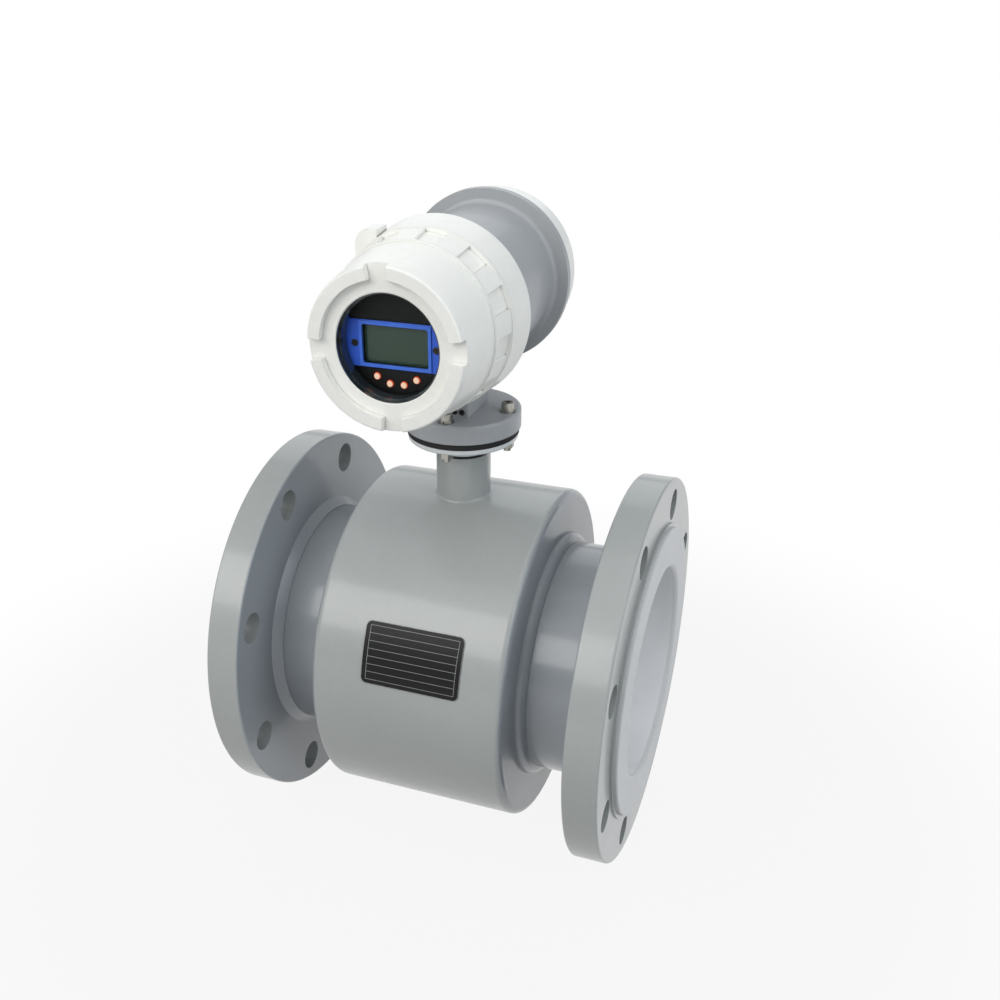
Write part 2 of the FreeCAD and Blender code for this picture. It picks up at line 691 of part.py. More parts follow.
def nameplate():
    """Bare curved plate on the front of the housing."""
    outside = cylinder("plate_outside", "housing_radius + plate_thickness", "housing_length", ALONG_X,
                       x="-housing_length / 2")
    inside = cylinder("plate_inside", "housing_radius", "housing_length", ALONG_X, x="-housing_length / 2")
    skin = combined("Cut", "plate_skin", outside, inside)
    cutter = new_body("plate_cutter", node=False)
    cutter.Placement.Rotation = FreeCAD.Rotation(FreeCAD.Vector(1, 0, 0), value("plate_angle"))
    sketch = sketch_on(cutter, "plate_outline", "XY_Plane")
    draw_box(sketch, "plate_shift - plate_length / 2", "-plate_height / 2",
             "plate_shift + plate_length / 2", "plate_height / 2")
    padded(cutter, "plate_reach", sketch, "2 * housing_radius")
    corners = [edge_along("z")]
    rounded(cutter, "plate_corners", "plate_corner", *corners)
    combined("Common", "nameplate", skin, cutter, node=True)


# ---- stem -------------------------------------------------------------------------------------

def stem():
    """Stem pipe, its foot cut to the round of the housing and flared by a fillet weld."""
    housing, saddle = [cylinder(label, "housing_radius", "housing_length", ALONG_X,
                                x="-housing_length / 2") for label in ("stem_housing", "stem_saddle")]
    outside = cylinder("stem_outside", "stem_radius", STEM_TOP)
    joined = combined("Fuse", "stem_joined", housing, outside)
    doc.recompute()
    weld = doc.addObject("Part::Fillet", "stem_welded")
    weld.Base = joined
    radius = value("stem_weld")
    weld.Edges = [(index, radius, radius) for index, edge in enumerate(joined.Shape.Edges, 1)
                  if not isinstance(edge.Curve, (Part.Circle, Part.Line))]
    foot = combined("Cut", "stem_foot", weld, saddle)
    inside = cylinder("stem_inside", "stem_radius - stem_wall", STEM_TOP)
    combined("Cut", "stem", foot, inside, node=True)


def stem_seal():
    """Thin black ring between the stem and the lower flange."""
    body = new_body("stem_seal", z=STEM_TOP)
    sketch = sketch_on(body, "stem_seal_outline", "XY_Plane")
    draw_circle(sketch, "stem_radius - stem_seal_inset")
    draw_circle(sketch, "stem_radius - stem_wall")
    padded(body, "stem_seal_pad", sketch, "stem_seal_thickness")


def bolt_holes(body, label, plane, radius, length):
    """Drill the four holes of the base bolts through a flat piece."""
    hole = draw_circle(sketch_on(body, label, plane), radius, "base_bolt_circle", "0")
    cut = pocketed(body, label + "_cut", hole, length, both=True)
    repeated(body, label + "_all", cut, hole, "N_Axis", "base_bolt_count")


def lower_flange():
    """Flange on the stem, with a short neck and a spigot that centres it in the stem."""
    body = new_body("lower_flange", z=LOWER_FLANGE_UNDERSIDE)
    spigot = "(stem_radius - stem_wall - fit_gap)"
    turned(body, "lower_flange_turned", "XZ_Plane", "V_Axis", [
        (f"{spigot} - spigot_wall", "-lower_flange_neck - spigot_depth"),
        (spigot, "-lower_flange_neck - spigot_depth"), (spigot, "-lower_flange_neck"),
        ("stem_radius", "-lower_flange_neck"), ("stem_radius", "0"), ("lower_flange_radius", "0"),
        ("lower_flange_radius", "lower_flange_thickness"),
        (f"{spigot} - spigot_wall", "lower_flange_thickness")])
    rounded(body, "lower_edge", "lower_flange_round", ring_edge("lower_flange_radius", "z", "0"))
    bolt_holes(body, "lower_holes", "XY_Plane", "base_bolt_radius + fit_gap", "4 * lower_flange_thickness")


def gasket():
    """Thick black rubber gasket between the two flanges."""
    body = new_body("flange_gasket", z=GASKET_UNDERSIDE)
    sketch = sketch_on(body, "gasket_outline", "XY_Plane")
    draw_circle(sketch, "gasket_radius")
    draw_circle(sketch, "passage_radius")
    padded(body, "gasket_pad", sketch, "gasket_thickness")
    bolt_holes(body, "gasket_holes", "XY_Plane", "base_bolt_radius + fit_gap", "4 * gasket_thickness")


def base_fasteners():
    """Four socket screws down through the base flange, with washers above and a nut below."""
    washer_seat = f"({BASE_TOP} - counterbore_depth)"
    spring_seat = f"({washer_seat} + washer_thickness)"
    seat = f"({spring_seat} + spring_washer_thickness)"
    reach = f"({seat} - {LOWER_FLANGE_UNDERSIDE} + base_nut_height + base_bolt_tail)"
    bolt = new_body("base_bolt", node=False, x="base_bolt_circle", z=seat)
    turned(bolt, "bolt_turned", "XZ_Plane", "V_Axis", [
        ("0", f"-{reach}"), ("base_bolt_radius", f"-{reach}"), ("base_bolt_radius", "0"),
        ("base_head_radius", "0"), ("base_head_radius", "base_head_height"), ("0", "base_head_height")])
    rounded(bolt, "head_edge", "0.15 * base_head_radius",
            ring_edge("base_head_radius", "z", "base_head_height"))
    socket = draw_hexagon(sketch_on(bolt, "socket", "XY_Plane", offset="base_head_height"),
                          "base_socket_width")
    pocketed(bolt, "socket_cut", socket, "base_socket_depth")
    washer = new_body("base_washer", node=False, x="base_bolt_circle", z=washer_seat)
    sketch = draw_circle(sketch_on(washer, "washer_outline", "XY_Plane"), "washer_radius")
    draw_circle(sketch, "base_bolt_radius + fit_gap")
    padded(washer, "washer_pad", sketch, "washer_thickness")
    spring = new_body("base_spring_washer", node=False, x="base_bolt_circle", z=spring_seat)
    sketch = draw_circle(sketch_on(spring, "spring_outline", "XY_Plane"), "spring_washer_radius")
    draw_circle(sketch, "base_bolt_radius + fit_gap")
    padded(spring, "spring_pad", sketch, "spring_washer_thickness")
    split = sketch_on(spring, "split", "XY_Plane", offset="spring_washer_thickness")
    draw_box(split, "0", "-spring_washer_gap / 2", "2 * spring_washer_radius", "spring_washer_gap / 2")
    pocketed(spring, "split_cut", split, "2 * spring_washer_thickness")
    nut = new_body("base_nut", node=False, x="base_bolt_circle", z=LOWER_FLANGE_UNDERSIDE)
    sketch = draw_hexagon(sketch_on(nut, "nut_outline", "XY_Plane"), "base_nut_width")
    draw_circle(sketch, "base_bolt_radius")
    padded(nut, "nut_pad", sketch, "base_nut_height", backwards=True)
    count = round(value("base_bolt_count"))
    for label, piece in (("base_bolts", bolt), ("base_washers", washer),
                         ("base_spring_washers", spring), ("base_nuts", nut)):
        copies(label, piece, spread_about((0, 0, 1), (0, 0, 0), count))


# ---- converter body ---------------------------------------------------------------------------

def converter_casting():
    """Grey casting: base flange, pedestal, waist with two chambers, rear disc and gland bosses."""
    body = converter_body("converter_body")
    thread_end = f"({DISC_BACK} + rear_thread_length)"
    turned(body, "waist", "XY_Plane", "V_Axis", [
        ("front_wall_opening", "-waist_front"), ("waist_radius", "-waist_front"),
        ("waist_radius", "disc_front"), ("disc_radius", "disc_front"), ("disc_radius", DISC_BACK),
        ("rear_thread_radius", DISC_BACK), ("rear_thread_radius", thread_end),
        (WAIST_BORE, thread_end), (WAIST_BORE, f"-{PARTITION_BACK}"), ("0", f"-{PARTITION_BACK}"),
        ("0", "-partition_front"), (WAIST_BORE, "-partition_front"),
        (WAIST_BORE, "-waist_front + front_wall_thickness"),
        ("front_wall_opening", "-waist_front + front_wall_thickness")])
    rounded(body, "disc_root", "disc_round", ring_edge("waist_radius", "y", "disc_front"))
    sketch = sketch_on(body, "pedestal_outline", "XY_Plane", offset="-axis_rise")
    draw_box(sketch, "-pedestal_half_width", "-pedestal_front", "pedestal_half_width", "pedestal_back")
    padded(body, "pedestal", sketch, "axis_rise - waist_radius + waist_wall / 2")
    rounded(body, "pedestal_corners", "pedestal_corner",
            edge_along("z", z=("-axis_rise", "-waist_radius + waist_wall / 2")))
    sketch = draw_circle(sketch_on(body, "base_outline", "XY_Plane", offset="-axis_rise"), "base_radius")
    padded(body, "base", sketch, "base_thickness", backwards=True)
    rounded(body, "base_edge", "base_edge_round", ring_edge("base_radius", "z", "-axis_rise"))
    for label, height in (("boss_upper", "gland_spacing / 2"), ("boss_lower", "-gland_spacing / 2")):
        sketch = sketch_on(body, label + "_outline", "YZ_Plane", offset="-gland_boss_face")
        draw_circle(sketch, "gland_boss_radius", "gland_back", height)
        padded(body, label, sketch, "gland_boss_face - waist_radius + waist_wall + gland_boss_radius / 2")
    chamber(body)
    for label, height in (("entry_upper", "gland_spacing / 2"), ("entry_lower", "-gland_spacing / 2")):
        sketch = sketch_on(body, label + "_outline", "YZ_Plane", offset="-gland_boss_face")
        draw_circle(sketch, "gland_thread_radius", "gland_back", height)
        pocketed(body, label, sketch, "gland_boss_radius * 2", backwards=True)
    passage = draw_circle(sketch_on(body, "passage_outline", "XY_Plane", offset="-axis_rise"),
                          "passage_radius")
    pocketed(body, "passage_down", passage, "2 * base_thickness")
    passage = draw_circle(sketch_on(body, "passage_outline_up", "XY_Plane", offset="-axis_rise"),
                          "passage_radius")
    pocketed(body, "passage_up", passage, "axis_rise - waist_radius + 2 * waist_wall", backwards=True)
    hole = draw_circle(sketch_on(body, "base_hole", "XY_Plane", offset="-axis_rise"),
                       "base_bolt_radius + fit_gap", "base_bolt_circle", "0")
    cut = pocketed(body, "base_hole_cut", hole, "2 * base_thickness")
    repeated(body, "base_holes", cut, hole, "N_Axis", "base_bolt_count")
    bore = draw_circle(sketch_on(body, "counterbore", "XY_Plane", offset="-axis_rise"),
                       "counterbore_radius", "base_bolt_circle", "0")
    cut = pocketed(body, "counterbore_cut", bore, "counterbore_depth")
    repeated(body, "counterbores", cut, bore, "N_Axis", "base_bolt_count")
    hole = draw_circle(sketch_on(body, "module_hole", "XZ_Plane", offset="waist_front"),
                       "module_screw_radius", "module_screw_circle", "0")
    cut = pocketed(body, "module_hole_cut", hole, "front_wall_thickness")
    repeated(body, "module_holes", cut, hole, "N_Axis", "module_screw_count")
    for label, side in (("left", "-"), ("right", "+")):
        place = f"pedestal_screw_offset {side} pedestal_screw_spacing / 2"
        sketch = sketch_on(body, f"pedestal_hole_{label}", "XZ_Plane", offset="pedestal_front")
        draw_circle(sketch, "pedestal_screw_radius", place, "-axis_rise + pedestal_screw_height")
        pocketed(body, f"pedestal_hole_{label}_cut", sketch, "pedestal_screw_length")


def chamber(body):
    """Clear the rear chamber of what the gland bosses leave inside it."""
    before = body.Shape.Volume
    profile = sketch_on(body, "chamber_profile", "XY_Plane")
    draw_box(profile, "0", f"-{PARTITION_BACK}", WAIST_BORE, f"{DISC_BACK} + rear_thread_length")
    feature = body.newObject("PartDesign::Groove", "chamber")
    feature.Profile = profile
    feature.ReferenceAxis = (profile, ["V_Axis"])
    feature.Angle = 360
    doc.recompute()
    if body.Shape.Volume > before - 1e-3:
        raise RuntimeError("the chamber cuts nothing")


def pedestal_screws():
    """Two small socket screws low on the front of the pedestal."""
    screw = converter_body("pedestal_screw", node=False)
    start = "(pedestal_front + pedestal_screw_proud)"
    sketch = sketch_on(screw, "screw_outline", "XZ_Plane", offset=start)
    draw_circle(sketch, "pedestal_screw_radius", "pedestal_screw_offset",
                "-axis_rise + pedestal_screw_height")
    padded(screw, "screw_pad", sketch, "pedestal_screw_length + pedestal_screw_proud", backwards=True)
    socket = draw_hexagon(sketch_on(screw, "screw_socket", "XZ_Plane", offset=start),
                          "pedestal_screw_radius", "pedestal_screw_offset",
                          "-axis_rise + pedestal_screw_height")
    pocketed(screw, "screw_socket_cut", socket, "pedestal_screw_radius")
    half = value("pedestal_screw_spacing / 2")
    copies("pedestal_screws", screw, [moved(-half), moved(half)])


# ---- white collar -----------------------------------------------------------------------------

def collar():
    """White ring in front of the waist: flare, threaded spigot and the lug at its upper left."""
    body = converter_body("collar")
    thread_end = "(collar_front + front_thread_length)"
    turned(body, "collar_turned", "XY_Plane", "V_Axis", [
        ("waist_radius", "-collar_back"), ("collar_back_radius", "-collar_back"),
        ("collar_front_radius", "-collar_front"), ("front_thread_radius", "-collar_front"),
        ("front_thread_radius", f"-{thread_end}"), (SPIGOT_BORE, f"-{thread_end}"),
        (SPIGOT_BORE, f"-{COLLAR_WALL_FRONT}"), ("front_wall_opening", f"-{COLLAR_WALL_FRONT}"),
        ("front_wall_opening", "-waist_front"), ("waist_radius", "-waist_front")])
    sketch = sketch_on(body, "lug_outline", "XZ_Plane", offset="lug_back")
    draw_box(sketch, "-lug_left", "lug_bottom", "-lug_right", "lug_top")
    padded(body, "lug", sketch, "lug_front - lug_back")
    rounded(body, "lug_shoulder", "lug_round",
            edge_along("y", x=("-lug_left - 1", "-lug_left + 1"), z=("lug_top - 1", "lug_top + 1")))
    hole = draw_circle(sketch_on(body, "collar_hole", "XZ_Plane", offset=COLLAR_WALL_FRONT),
                       "module_screw_radius + fit_gap", "module_screw_circle", "0")
    cut = pocketed(body, "collar_hole_cut", hole, "collar_wall_thickness")
    repeated(body, "collar_holes", cut, hole, "N_Axis", "module_screw_count")


# ---- front cover ------------------------------------------------------------------------------

def cover_gaps(body, label, inner, outer, low, high):
    """Break a raised ring into four arcs."""
    sketch = sketch_on(body, label + "_profile", "XY_Plane", turn=((0, 1, 0), "-pad_turn"))
    draw_box(sketch, inner, low, outer, high)
    cut = grooved(body, label, sketch, "V_Axis", "pad_gap_angle")
    repeated(body, label + "_all", cut, sketch, "V_Axis", "pad_count")


def front_cover():
    """White screwed cover: pocketed grip, tapered barrel, window and four raised arcs."""
    body = converter_body("front_cover")
    band_back = f"({COVER_BACK} + ridge_width)"
    band_front = "(grip_front - ridge_width)"
    pad_face = "(cover_face + pad_height)"
    rebate_radius = f"({COVER_BORE} + seal_room)"
    turned(body, "cover_turned", "XY_Plane", "V_Axis", [
        (rebate_radius, f"-{COVER_BACK}"), ("grip_back_radius", f"-{COVER_BACK}"),
        ("grip_back_radius", f"-{band_back}"), ("grip_back_radius - ridge_height", f"-{band_back}"),
        ("grip_front_radius - ridge_height", f"-{band_front}"), ("grip_front_radius", f"-{band_front}"),
        ("grip_front_radius", "-grip_front"), ("barrel_back_radius", "-grip_front"),
        ("barrel_front_radius", "-cover_face"), ("pad_outer_radius", f"-{pad_face}"),
        ("pad_inner_radius", f"-{pad_face}"), ("pad_inner_radius", "-cover_face"),
        ("window_radius", "-cover_face"), ("window_radius", f"-{LIP_BACK}"),
        ("cover_bore_front_radius", f"-{LIP_BACK}"), (COVER_BORE, "-grip_front"),
        (COVER_BORE, f"-{COVER_BACK} - seal_room"), (rebate_radius, f"-{COVER_BACK} - seal_room")])
    rounded(body, "pad_rims", "pad_edge_round", ring_edge("pad_outer_radius", "y", f"-{pad_face}"))
    rounded(body, "window_rim", "window_edge_round", ring_edge("window_radius", "y", "-cover_face"))
    cover_gaps(body, "pad_gaps", "pad_inner_radius", "barrel_front_radius + 1",
               f"-{pad_face} - 1", "-cover_face")
    sketch = sketch_on(body, "pocket_profile", "XY_Plane", turn=((0, 1, 0), "-pocket_turn"))
    draw_outline(sketch, [
        ("grip_back_radius - ridge_height - pocket_depth", f"-{band_back}"),
        ("grip_back_radius + 1", f"-{band_back}"),
        ("grip_back_radius + 1", f"-{band_front}"),
        ("grip_front_radius - ridge_height - pocket_depth", f"-{band_front}")])
    cut = grooved(body, "pocket", sketch, "V_Axis", "pocket_angle")
    repeated(body, "pockets", cut, sketch, "V_Axis", "pocket_count")


def window_ring():
    """Black ring that lines the window and carries the glass in a step."""
    body = converter_body("window_ring")
    turned(body, "ring_turned", "XY_Plane", "V_Axis", [
        (GLASS_RADIUS, f"-{RING_FRONT}"), ("window_radius", f"-{RING_FRONT}"),
        ("window_radius", f"-{LIP_BACK}"), ("ring_flange_radius", f"-{LIP_BACK}"),
        ("ring_flange_radius", f"-{RING_SHOULDER}"), ("window_radius", f"-{RING_SHOULDER}"),
        ("window_radius", f"-{RING_BACK}"), (RING_BORE, f"-{RING_BACK}"),
        (RING_BORE, f"-{GLASS_BACK}"), (GLASS_RADIUS, f"-{GLASS_BACK}")])


def window_glass():
    body = converter_body("window_glass")
    sketch = draw_circle(sketch_on(body, "glass_outline", "XZ_Plane", offset=GLASS_BACK), GLASS_RADIUS)
    padded(body, "glass_pad", sketch, "glass_thickness")


def o_ring(label, thread_radius, shoulder, side):
    """O-ring that lies against a cover's thread and its shoulder."""
    ring = doc.addObject("Part::Torus", label)
    ring.Label = label
    ring.Placement.Rotation = FreeCAD.Rotation(FreeCAD.Vector(*ALONG_Y[0]), ALONG_Y[1])
    bind(ring, Radius1=f"{thread_radius} + seal_gap + seal_section", Radius2="seal_section",
         y=f"{side}({shoulder} + seal_gap + seal_section)", z=AXIS_HEIGHT)
    nodes.append(ring)


# ---- display ----------------------------------------------------------------------------------

def button_places():
    """Middle of each button, to the right of and above the converter's axis."""
    for step in (-1.5, -0.5, 0.5, 1.5):
        angle = f"({step} * button_step * 1deg)"
        yield f"button_circle * sin({angle})", f"-button_drop - button_circle * cos({angle})"


def display_panel():
    """Black round panel with openings for the display, the buttons and two screws."""
    body = converter_body("display_panel")
    sketch = draw_circle(sketch_on(body, "panel_outline", "XZ_Plane", offset=PANEL_BACK), "panel_radius")
    draw_box(sketch, "-screen_width / 2", "-screen_height / 2 - frame_drop",
             "screen_width / 2", "screen_height / 2 - frame_drop")
    for x, z in button_places():
        draw_circle(sketch, "button_radius + button_gap", x, z)
    for side in ("-", ""):
        draw_circle(sketch, "frame_screw_radius", f"{side}frame_screw_place", "-frame_drop")
    padded(body, "panel_pad", sketch, "panel_thickness")


def display_frame():
    """Blue frame across the panel, with round ends and a raised border round the display."""
    body = converter_body("display_frame")
    sketch = draw_circle(sketch_on(body, "frame_outline", "XZ_Plane", offset=PANEL_FRONT), "frame_radius")
    padded(body, "frame_pad", sketch, "frame_thickness")
    for label, side in (("above", ""), ("below", "-")):
        sketch = sketch_on(body, "frame_trim_" + label, "XZ_Plane", offset=FRAME_FRONT)
        edges = sorted((f"{side}frame_half_height - frame_drop", f"{side}(frame_radius + 1)"), key=value)
        draw_box(sketch, "-frame_radius - 1", edges[0], "frame_radius + 1", edges[1])
        pocketed(body, f"frame_trim_{label}_cut", sketch, "frame_thickness")
    border = sketch_on(body, "border_outline", "XZ_Plane", offset=FRAME_FRONT)
    draw_box(border, "-screen_width / 2 - border_width",
             "-screen_height / 2 - border_width - frame_drop",
             "screen_width / 2 + border_width", "screen_height / 2 + border_width - frame_drop")
    padded(body, "border", border, "border_height")
    screen = sketch_on(body, "screen_outline", "XZ_Plane", offset=f"{FRAME_FRONT} + border_height")
    draw_box(screen, "-screen_width / 2", "-screen_height / 2 - frame_drop",
             "screen_width / 2", "screen_height / 2 - frame_drop")
    pocketed(body, "screen_cut", screen, "2 * (frame_thickness + border_height)")
    inside = ("-screen_width / 2 - 1", "screen_width / 2 + 1")
    rounded(body, "screen_corners", "screen_corner", edge_along("y", x=inside,
            z=("-screen_height / 2 - 1 - frame_drop", "screen_height / 2 + 1 - frame_drop")))
    holes = sketch_on(body, "frame_screw_holes", "XZ_Plane", offset=FRAME_FRONT)
    for side in ("-", ""):
        draw_circle(holes, "frame_screw_radius", f"{side}frame_screw_place", "-frame_drop")
    pocketed(body, "frame_screw_holes_cut", holes, "2 * frame_thickness")


def lcd():
    """Display glass against the back of the panel."""
    body = converter_body("lcd")
    sketch = sketch_on(body, "lcd_outline", "XZ_Plane", offset=PANEL_BACK)
    draw_box(sketch, "-screen_width / 2 - lcd_margin", "-screen_height / 2 - lcd_margin - frame_drop",
             "screen_width / 2 + lcd_margin", "screen_height / 2 + lcd_margin - frame_drop")
    padded(body, "lcd_pad", sketch, "lcd_thickness", backwards=True)


def frame_screws():
    """Two screws through the blue frame and the panel into the spacers."""
    screw = converter_body("frame_screw", node=False)
    head = draw_circle(sketch_on(screw, "head_outline", "XZ_Plane", offset=FRAME_FRONT),
                       "frame_screw_head_radius")
    padded(screw, "head", head, "frame_screw_head_height")
    shank = draw_circle(sketch_on(screw, "shank_outline", "XZ_Plane", offset=FRAME_FRONT),
                        "frame_screw_radius")
    padded(screw, "shank", shank, "frame_thickness + panel_thickness + spacer_length / 2", backwards=True)
    place = value("frame_screw_place")
    drop = value("-frame_drop")
    copies("frame_screws", screw, [moved(-place, 0, drop), moved(place, 0, drop)])
    spacer = converter_body("display_spacer", node=False)
    sketch = draw_circle(sketch_on(spacer, "spacer_outline", "XZ_Plane", offset=DISPLAY_BOARD_FRONT),
                         "spacer_radius")
    draw_circle(sketch, "frame_screw_radius")
    padded(spacer, "spacer_pad", sketch, "spacer_length")
    copies("display_spacers", spacer, [moved(-place, 0, drop), moved(place, 0, drop)])


def buttons():
    """Four push buttons, each with a flange behind the panel and a switch on the board."""
    stop = f"({PANEL_BACK} - button_gap)"
    flange_back = f"({stop} - button_flange_thickness)"
    for number, (x, z) in enumerate(button_places(), 1):
        label = f"button_{number}"
        body = new_body(label, x=x, z=f"{AXIS_HEIGHT} + {z}")
        turned(body, label + "_turned", "XY_Plane", "V_Axis", [
            ("0", f"-{flange_back}"), ("button_flange_radius", f"-{flange_back}"),
            ("button_flange_radius", f"-{stop}"), ("button_radius", f"-{stop}"),
            ("button_radius", f"-{PANEL_FRONT} - button_proud"), ("0", f"-{PANEL_FRONT} - button_proud")])
        rounded(body, label + "_dome", "button_dome",
                ring_edge("button_radius", "y", f"-{PANEL_FRONT} - button_proud"))
    switch = new_body("tact_switch", node=False)
    sketch = sketch_on(switch, "switch_outline", "XZ_Plane", offset=DISPLAY_BOARD_FRONT)
    draw_box(sketch, "-switch_side / 2", "-switch_side / 2", "switch_side / 2", "switch_side / 2")
    padded(switch, "switch_pad", sketch,
           f"{flange_back} - button_travel - button_gap / 2 - {DISPLAY_BOARD_FRONT}")
    copies("tact_switches", switch,
           [moved(value(x), 0, value(f"{AXIS_HEIGHT} + {z}")) for x, z in button_places()])


# ---- electronics ------------------------------------------------------------------------------

def electronics_case():
    """Moulded cup in the front chamber, with four posts for the main board."""
    body = converter_body("electronics_case")
    inner = "(case_radius - case_wall)"
    turned(body, "case_turned", "XY_Plane", "V_Axis", [
        ("case_opening", f"-{COLLAR_WALL_FRONT}"), ("case_radius", f"-{COLLAR_WALL_FRONT}"),
        ("case_radius", f"-{CASE_FRONT}"), (inner, f"-{CASE_FRONT}"),
        (inner, f"-{CASE_FLOOR}"), ("case_opening", f"-{CASE_FLOOR}")])
    post = sketch_on(body, "post_outline", "XZ_Plane", offset=CASE_FLOOR)
    diagonal = "post_circle * cos(45deg)"
    draw_circle(post, "post_radius", diagonal, diagonal)
    draw_circle(post, "board_screw_radius", diagonal, diagonal)
    raised = padded(body, "post", post, "post_length")
    repeated(body, "posts", raised, post, "N_Axis", "4")
    hole = draw_circle(sketch_on(body, "case_hole", "XZ_Plane", offset=CASE_FLOOR),
                       "module_screw_radius + fit_gap", "module_screw_circle", "0")
    cut = pocketed(body, "case_hole_cut", hole, "case_back_thickness")
    repeated(body, "case_holes", cut, hole, "N_Axis", "module_screw_count")


def module_screws():
    """Screws that hold the case and the collar to the waist."""
    screw = converter_body("module_screw", node=False)
    head = draw_circle(sketch_on(screw, "module_head", "XZ_Plane", offset=CASE_FLOOR),
                       "module_screw_head_radius", "module_screw_circle", "0")
    padded(screw, "module_head_pad", head, "module_screw_head_height")
    shank = draw_circle(sketch_on(screw, "module_shank", "XZ_Plane", offset=CASE_FLOOR),
                        "module_screw_radius", "module_screw_circle", "0")
    padded(screw, "module_shank_pad", shank,
           "case_back_thickness + collar_wall_thickness + front_wall_thickness", backwards=True)
    centre = (0, 0, value(AXIS_HEIGHT))
    count = round(value("module_screw_count"))
    copies("module_screws", screw, spread_about((0, 1, 0), centre, count))


def circuit_boards():
    """Main board on the case's posts, display board on the case's rim, and their screws."""
    main = converter_body("main_board")
    sketch = draw_circle(sketch_on(main, "main_board_outline", "XZ_Plane", offset=MAIN_BOARD_BACK),
                         "main_board_radius")
    diagonal = "(post_circle * cos(45deg))"
    for x, z in (("", ""), ("-", ""), ("-", "-"), ("", "-")):
        draw_circle(sketch, "board_screw_radius", x + diagonal, z + diagonal)
    padded(main, "main_board_pad", sketch, "board_thickness")
    display = converter_body("display_board")
    sketch = draw_circle(sketch_on(display, "display_board_outline", "XZ_Plane", offset=CASE_FRONT),
                         "display_board_radius")
    padded(display, "display_board_pad", sketch, "board_thickness")
    screw = converter_body("board_screw", node=False)
    head = draw_circle(sketch_on(screw, "board_head", "XZ_Plane", offset=MAIN_BOARD_FRONT),
                       "board_screw_head_radius", diagonal, diagonal)
    padded(screw, "board_head_pad", head, "board_screw_head_height")
    shank = draw_circle(sketch_on(screw, "board_shank", "XZ_Plane", offset=MAIN_BOARD_FRONT),
                        "board_screw_radius", diagonal, diagonal)
    padded(screw, "board_shank_pad", shank, "board_screw_length", backwards=True)
    copies("board_screws", screw, spread_about((0, 1, 0), (0, 0, value(AXIS_HEIGHT)), 4))
    transformer = converter_body("transformer")
    sketch = sketch_on(transformer, "transformer_outline", "XZ_Plane", offset=MAIN_BOARD_FRONT)
    draw_box(sketch, "-transformer_width / 2", "-transformer_height / 2",
             "transformer_width / 2", "transformer_height / 2")
    padded(transformer, "transformer_pad", sketch, "transformer_depth")


def terminals():
    """Terminal block on the partition, facing the rear cover, with a screw for each wire."""
    body = converter_body("terminal_block")
    sketch = sketch_on(body, "terminal_outline", "XZ_Plane", offset=PARTITION_BACK)
    draw_box(sketch, "-terminal_width / 2", "-terminal_height / 2",
             "terminal_width / 2", "terminal_height / 2")
    padded(body, "terminal_pad", sketch, "terminal_depth", backwards=True)
    pitch = "(terminal_width / terminal_count)"
    face = f"({PARTITION_BACK} - terminal_depth)"
    count = round(value("terminal_count"))
    wells = sketch_on(body, "terminal_wells", "XZ_Plane", offset=face)
    places = [f"{pitch} * {step - (count - 1) / 2}" for step in range(count)]
    for place in places:
        draw_circle(wells, "terminal_screw_radius + fit_gap", place)
    pocketed(body, "terminal_wells_cut", wells, "terminal_screw_depth + fit_gap", backwards=True)
    screw = converter_body("terminal_screw", node=False)
    sketch = draw_circle(sketch_on(screw, "terminal_screw_outline", "XZ_Plane", offset=f"{face} + fit_gap"),
                         "terminal_screw_radius")
    padded(screw, "terminal_screw_pad", sketch, "terminal_screw_depth")
    copies("terminal_screws", screw, [moved(value(place)) for place in places])


# ---- rear cover and glands --------------------------------------------------------------------

def rear_cover():
    """White screwed cover of the wiring chamber, with four raised arcs like the front one's."""
    body = converter_body("rear_cover")
    pad_face = "(rear_cover_back + rear_pad_height)"
    rebate_radius = f"({REAR_COVER_BORE} + seal_room)"
    floor = "(rear_cover_back - rear_cover_wall)"
    turned(body, "rear_cover_turned", "XY_Plane", "V_Axis", [
        (rebate_radius, REAR_COVER_FRONT), ("rear_cover_radius", REAR_COVER_FRONT),
        ("rear_cover_end_radius", "rear_cover_back"), ("rear_pad_outer_radius", "rear_cover_back"),
        ("rear_pad_outer_radius", pad_face), ("rear_pad_inner_radius", pad_face),
        ("rear_pad_inner_radius", "rear_cover_back"), ("0", "rear_cover_back"), ("0", floor),
        (REAR_COVER_BORE, floor), (REAR_COVER_BORE, f"{REAR_COVER_FRONT} + seal_room"),
        (rebate_radius, f"{REAR_COVER_FRONT} + seal_room")])
    rounded(body, "rear_rim", "rear_cover_round", ring_edge("rear_cover_end_radius", "y", "rear_cover_back"))
    cover_gaps(body, "rear_gaps", "rear_pad_inner_radius", "rear_pad_outer_radius + 1",
               "rear_cover_back", f"{pad_face} + 1")


